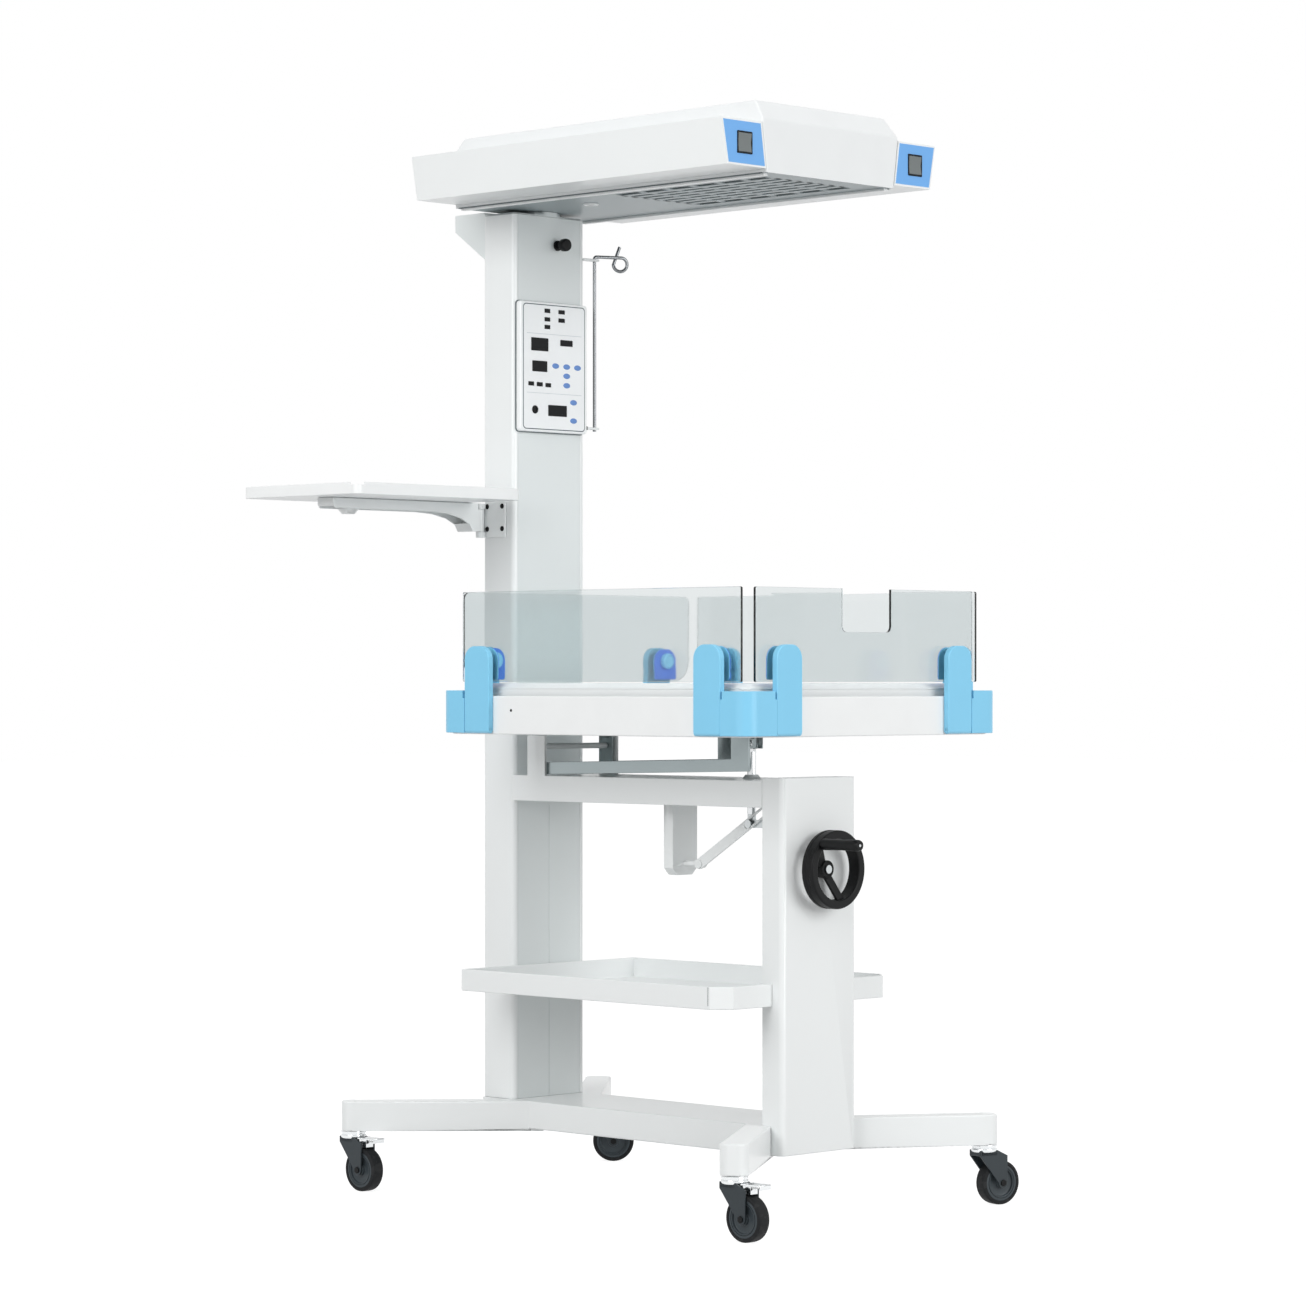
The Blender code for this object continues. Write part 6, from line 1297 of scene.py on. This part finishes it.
# %% Swivel lock knob
LOCK = Vector((0.019, 0.2947, 1.639))
LOCK_PROFILE = [(0, 0.0), (0.0084, 0.0), (0.0090, 0.0006), (0.0090, 0.0034), (0.0082, 0.0040),
                (0.0056, 0.0046), (0.0052, 0.0090), (0.0060, 0.0125), (0.0096, 0.0136),
                (0.0108, 0.0150), (0.0112, 0.0200), (0.0110, 0.0240), (0.0100, 0.0262),
                (0.0080, 0.0270), (0, 0.0266)]
lock = turned(LOCK_PROFILE, along(LOCK, LOCK - Vector((0, 1, 0))), 48)
show("lock_knob_moulding", lock, BLACK_PLASTIC, body_of("swivel_lock_knob"),
     ["swivel_lock_knob"])

# %% Control panel frame
COLUMN_FACE = 0.2942
FILM_Y = 0.2822
frame_line = rounded(-0.0808, 0.0808, 1.311, 1.537, (0.006,) * 4)
panel_frame = slab([frame_line], FILM_Y, COLUMN_FACE, XZ, 0.0024, 4)
show("control_frame", panel_frame, LIT_PANEL_WHITE, "stand", ["control_panel"])
# A dark sheet a little larger than the frame, on the column behind it: a painted shadow line round
# the frame.
shadow_outline = rounded(-0.0822, 0.0822, 1.3096, 1.5384, (0.007,) * 4)
frame_shadow = slab([shadow_outline], COLUMN_FACE - 0.0008, COLUMN_FACE, XZ)
show("control_frame_shadow", frame_shadow, SEAM_AND_SHADOW_DARK, "stand")

# %% Printed film
FILM = (-0.0735, 0.0735, 1.3165, 1.5315)
FILM_FACE = FILM_Y - 0.0003
FILM_BACK = FILM_Y + 0.0005
EDGE = 0.0016
line = rounded(FILM[0] - EDGE, FILM[1] + EDGE, FILM[2] - EDGE, FILM[3] + EDGE, (0.0074,) * 4)
film_dark = moulded("film edge", (0.045, 0.075, 0.09), 0.45)
film_edge = slab([line], FILM_Y - 0.0001, FILM_BACK, XZ)
show("film_edge", film_edge, film_dark, "stand")
film_look = moulded("printed film", (0.93, 0.95, 0.96), 0.30, 0.00003)
film = slab([rounded(*FILM, (0.006,) * 4)], FILM_FACE, FILM_BACK, XZ)
show("printed_film", film, film_look, "stand")


def on_film(u, v):
    """A point on the film, from its upper left corner, as shares of its size."""
    return (FILM[0] + u * (FILM[1] - FILM[0]), FILM_FACE, FILM[3] - v * (FILM[3] - FILM[2]))

# %% Windows, lamps and lines
glass_look = moulded("dark window", (0.004, 0.005, 0.006), 0.12, 0.000005, 0.20)
line_look = moulded("film lines", (0.55, 0.60, 0.63), 0.4)


def film_pads(name, places, thick, corner, look):
    """Flat pads on the film: (u, v, width, height) in shares of the film."""
    shapes = []
    for u, v, wide, tall in places:
        x, y, z = on_film(u, v)
        half_x = wide * (FILM[1] - FILM[0]) / 2
        half_z = tall * (FILM[3] - FILM[2]) / 2
        radius = min(corner, half_z * 0.98)
        outline = rounded(x - half_x, x + half_x, z - half_z, z + half_z, (radius,) * 4, 5)
        shapes.append(slab([outline], y - thick, y + 0.0002, XZ, thick * 0.4))
    return show(name, merged(*shapes), look, "stand")


film_pads("reading_windows", [(0.26, 0.319, 0.28, 0.106), (0.70, 0.295, 0.204, 0.050),
                              (0.26, 0.496, 0.244, 0.088), (0.552, 0.849, 0.306, 0.090)],
          0.0007, 0.0012, glass_look)
film_pads("section_lines", [(0.50, 0.232, 0.90, 0.0035), (0.50, 0.712, 0.90, 0.0035)],
          0.0001, 0.0, line_look)
LAMPS = [(0.385, 0.043, 0.092), (0.620, 0.045, 0.105), (0.385, 0.112, 0.092), (0.620, 0.113, 0.105),
         (0.385, 0.174, 0.092), (0.120, 0.640, 0.092), (0.260, 0.642, 0.098), (0.400, 0.645, 0.092)]
film_pads("lamp_windows", [(*lamp, 0.034) for lamp in LAMPS], 0.0005, 0.0008, glass_look)

# %% A tree for keys
def dome_tree(look):
    """Low domes on points, each with its own width and height."""
    tree, size = new_tree("film domes", {"Rise": 0.0008})
    dome = node(tree, "GeometryNodeMeshUVSphere", None,
                {"Segments": 28, "Rings": 12, "Radius": 1.0})
    scale = node(tree, "ShaderNodeVectorMath", {"operation": "MULTIPLY"},
                 {0: labelled_vector(tree, "spread"), 1: xyz(tree, 1.0, size["Rise"], 1.0)})
    domes = node(tree, "GeometryNodeInstanceOnPoints", None,
                 {"Points": size["Geometry"], "Instance": dome, "Scale": scale})
    end_tree(tree, domes, look)
    return tree

# %% Keys, probe socket and board
KEYS = [(0.523, 0.485), (0.706, 0.487), (0.886, 0.489), (0.706, 0.562), (0.706, 0.639),
        (0.820, 0.774), (0.820, 0.923)]
KEY_SPREAD = (0.017 / 2, 1.0, 0.0095 / 2)
key_look = moulded("blue keys", (0.12, 0.26, 0.60), 0.35)
key_points = points_at([on_film(u, v) for u, v in KEYS], "spread", [KEY_SPREAD] * len(KEYS))
keys = grown(dome_tree(key_look), key_points, {"Rise": 0.0010})
show("film_keys", keys, key_look, "stand")

SOCKET = [(0, 0.0002), (0.0040, 0.0002), (0.0042, 0.0012), (0.0068, 0.0012), (0.0072, 0.0006),
          (0.0072, -0.0005), (0, -0.0010)]
socket_at = Vector(on_film(0.183, 0.848))
socket = turned(SOCKET, along(socket_at, socket_at - Vector((0, 1, 0))), 36)
show("probe_socket", socket, BLACK_PLASTIC, "stand")
coat("controller_board", BOARD)

# %% [markdown]
# ## Shelf, side tray and hook
# The shelf and the side tray are trays like the bed, with thin walls. The shelf reaches
# round the post, with its two front corners cut off. The side tray has a low notch in the
# rim at its outer front corner.

# %% Storage shelf
SHELF_X = 0.209
SHELF_Y = (-0.320, 0.2942)
POST_NOTCH = (0.0905, -0.2967)


def shelf_outline(inset):
    half = SHELF_X - inset
    front, rear = SHELF_Y[0] + inset, SHELF_Y[1] - inset
    chamfer = 0.027 - inset * (2 - math.sqrt(2))
    notch, notch_y = POST_NOTCH[0] + inset, POST_NOTCH[1] + inset
    return [(-half + chamfer, front), (-notch, front), (-notch, notch_y), (notch, notch_y),
            (notch, front), (half - chamfer, front), (half, front + chamfer), (half, rear),
            (-half, rear), (-half, front + chamfer)]


shelf = loft(tray_rings(shelf_outline, 0.348, 0.385, 0.351, 0.004, 0.0016, 0.003))
slit = block((-0.211, -0.2895, 0.354), (-0.203, -0.2880, 0.387))
show("shelf_tray", carved(shelf, slit), WHITE, "stand", ["storage_shelf"],
     sharp=30.0)
slit_shade = block((-0.2086, -0.2894, 0.3545), (-0.2056, -0.2881, 0.3843))
show("shelf_slit_shade", slit_shade, SEAM_AND_SHADOW_DARK, "stand")

# %% Side tray
def side_tray_outline(inset):
    radius = max(0.012 - inset, 0.003)
    return rounded(-0.497 + inset, -0.1207 - inset, 0.2375 + inset, 0.530 - inset, (radius,) * 4)


tray_low, tray_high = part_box("side_tray")
print("side tray: from %.4f to %.4f m" % (tray_low.z, tray_high.z))
side_tray = loft(tray_rings(side_tray_outline, 0.0, 0.020, 0.003, 0.003, 0.0012, 0.003),
                 Matrix.Translation((0, 0, tray_low.z)))
notch = block((-0.499, 0.2355, tray_high.z - 0.0045), (-0.479, 0.2555, tray_high.z + 0.002))
show("side_tray_shell", carved(side_tray, notch), SHELL_WHITE, "tray", ["side_tray"])

# %% [markdown]
# Four screws hold the tray's bracket. One tree makes a pan head with a cross recess and
# puts it on each point, turned the way that the point's attribute says.

# %% A tree for screws
def screw_tree(look):
    """Pan-head screws with a cross recess, one at each point."""
    tree, size = new_tree("screws", {"Radius": 0.003, "Height": 0.0016})
    ball = node(tree, "GeometryNodeMeshUVSphere", None,
                {"Segments": 20, "Rings": 12, "Radius": 1.0})
    flat = xyz(tree, size["Radius"], size["Radius"], size["Height"])
    head = node(tree, "GeometryNodeTransform", None, {"Geometry": ball, "Scale": flat})
    bar_size = xyz(tree, size["Radius"] * 1.15, size["Radius"] * 0.24, size["Height"])
    bar = node(tree, "GeometryNodeMeshCube", None, {"Size": bar_size})
    up = xyz(tree, z=size["Height"])
    cross = [node(tree, "GeometryNodeTransform", None,
                  {"Geometry": bar, "Translation": up, "Rotation": (0.0, 0.0, turn)})
             for turn in (0.0, math.pi / 2)]
    head = node(tree, "GeometryNodeMeshBoolean", {"operation": "DIFFERENCE", "solver": "EXACT"},
                {0: head, 1: cross})
    turn = node(tree, "FunctionNodeAlignRotationToVector", {"axis": "Z"},
                {"Vector": labelled_vector(tree, "facing")})
    heads = node(tree, "GeometryNodeInstanceOnPoints", None,
                 {"Points": size["Geometry"], "Instance": head, "Rotation": turn})
    end_tree(tree, heads, look)
    return tree

# %% Screws on the bracket
BRACKET_X = -0.0908
screw_places = [(BRACKET_X, y, z) for y in (0.3185, 0.356) for z in (1.142, 1.181)]
screw_points = points_at(screw_places, "facing", [(-1, 0, 0)] * len(screw_places))
heads = grown(screw_tree(BLACK_PLASTIC), screw_points, {"Radius": 0.0046, "Height": 0.0020})
show("bracket_screws", heads, BLACK_PLASTIC, "stand", sharp=35.0)

# %% [markdown]
# The hook is one bent wire, so its route is worked out point by point, and the wire tree
# from above sweeps it. A small black ferrule holds its foot.

# %% The hook's route
HOOK_TOP = Vector((0.1155, 0.299, 1.627))
HOOK_FOOT_Z = 1.318
BEND = 0.004
LOOP = 0.0118


def hook_route():
    """Upright, bend, arm, loop and tip of the wire."""
    across = Vector((math.cos(math.radians(-24)), math.sin(math.radians(-24)), 0))
    aside = Vector((-across.y, across.x, 0))
    up = Vector((0, 0, 1))
    route = [Vector((HOOK_TOP.x, HOOK_TOP.y, HOOK_FOOT_Z)), HOOK_TOP - up * 0.012]
    bend = HOOK_TOP + across * BEND - up * BEND
    for step in range(7):
        angle = math.pi - math.pi / 2 * step / 6
        route.append(bend + across * BEND * math.cos(angle) + up * BEND * math.sin(angle))
    loop = HOOK_TOP + across * 0.051 - up * LOOP
    for step in range(37):
        share = step / 36
        angle = math.pi / 2 - 1.5 * math.pi * share
        route.append(loop + across * LOOP * math.cos(angle) + up * LOOP * math.sin(angle)
                     + aside * 0.009 * share)
    route.append(route[-1] + up * 0.0318 + across * 0.012)
    return route


wire_route = hook_route()
wire_length = sum((end - start).length for start, end in zip(wire_route, wire_route[1:]))
print("wire: %.0f mm long" % (1000 * wire_length))

# %% Drip hook
wire = bent_wire(wire_route, 0.003, DARK_WIRE)
show("hook_wire", wire, DARK_WIRE, "hook", ["drip_hook"], sharp=60.0)
ferrule = block((0.0866, 0.2925, 1.3195), (0.0925, 0.3055, 1.3265), 0.0010)
show("hook_ferrule", ferrule, BLACK_PLASTIC, "stand")

# %% [markdown]
# ## Floor, light and camera
# The photograph has a plain white ground. The floor and the world show pure white to the
# camera and to reflections, through Light Path, while the light that falls on the warmer
# comes from soft lamps at a plain level. The camera stands level, a little below the
# bed's panels, and its small shift is what the photograph's framing needs.

# %% Floor
floor_mesh = bpy.data.meshes.new("floor")
floor_mesh.from_pydata([(-30, -30, 0), (30, -30, 0), (30, 30, 0), (-30, 30, 0)], [], [(0, 1, 2, 3)])
floor = in_scene("studio_floor", floor_mesh)
floor_look, tree = new_look("studio floor")
grain = noise(tree, place_in(tree), 3.0)
pale = node(tree, "ShaderNodeBsdfDiffuse", None,
            {"Color": blended(tree, grain, (0.34, 0.34, 0.34), (0.36, 0.36, 0.36))})
glow = node(tree, "ShaderNodeEmission", None, {"Color": (1, 1, 1, 1), "Strength": 0.86})
lit = node(tree, "ShaderNodeAddShader", None, {0: pale, 1: glow})
matt = node(tree, "ShaderNodeBsdfDiffuse", None, {"Color": (0.55, 0.55, 0.55, 1.0)})
looked_at = seen_by(tree, "Is Camera Ray", "Is Glossy Ray")
mixed = node(tree, "ShaderNodeMixShader", None, {0: looked_at, 1: matt, 2: lit})
node(tree, "ShaderNodeOutputMaterial", None, {"Surface": mixed})
floor_mesh.materials.append(floor_look)
print("floor:", max(vertex.co.x for vertex in floor_mesh.vertices), "m to each side")

# %% World
world = bpy.data.worlds.new("studio")
bpy.context.scene.world = world
world.use_nodes = True
tree = world.node_tree
tree.nodes.clear()
any_seen = seen_by(tree, "Is Camera Ray", "Is Glossy Ray", "Is Transmission Ray")
strength = 0.52 + 0.48 * any_seen
ground = node(tree, "ShaderNodeBackground", None, {"Color": (1, 1, 1, 1), "Strength": strength})
node(tree, "ShaderNodeOutputWorld", None, {"Surface": ground})
print("world nodes:", len(tree.nodes))

# %% Lamps
def lamp(name, place, target, size, power):
    """A square soft light aimed at a point."""
    data = bpy.data.lights.new(name, "AREA")
    data.size = size
    data.energy = power
    made = in_scene(name, data)
    made.location = place
    made.rotation_euler = (Vector(target) - Vector(place)).to_track_quat("-Z", "Y").to_euler()
    print("lamp", name, "at", place, "with", power, "W")


lamp("key", (-4.2, -0.6, 2.8), (0, 0, 0.9), 2.6, 104.0)
lamp("front", (0.8, -4.8, 2.0), (0, 0, 0.9), 2.6, 98.0)
lamp("top", (0, 0, 5.0), (0, 0, 0), 3.0, 22.0)

# %% Camera
camera_data = bpy.data.cameras.new("camera")
camera_data.lens = 113.0
camera_data.sensor_width = 36.0
camera_data.shift_y = 0.0188
camera_data.clip_end = 100.0
camera = in_scene("camera", camera_data)
camera.location = Vector((-4.981, -4.854, 0.8835)) + SHIFT
camera.rotation_euler = Vector((0.7133, 0.7009, 0.0)).to_track_quat("-Z", "Y").to_euler()
bpy.context.scene.camera = camera
bpy.context.scene.view_settings.view_transform = "Standard"
print("camera:", [round(value, 3) for value in camera.location])
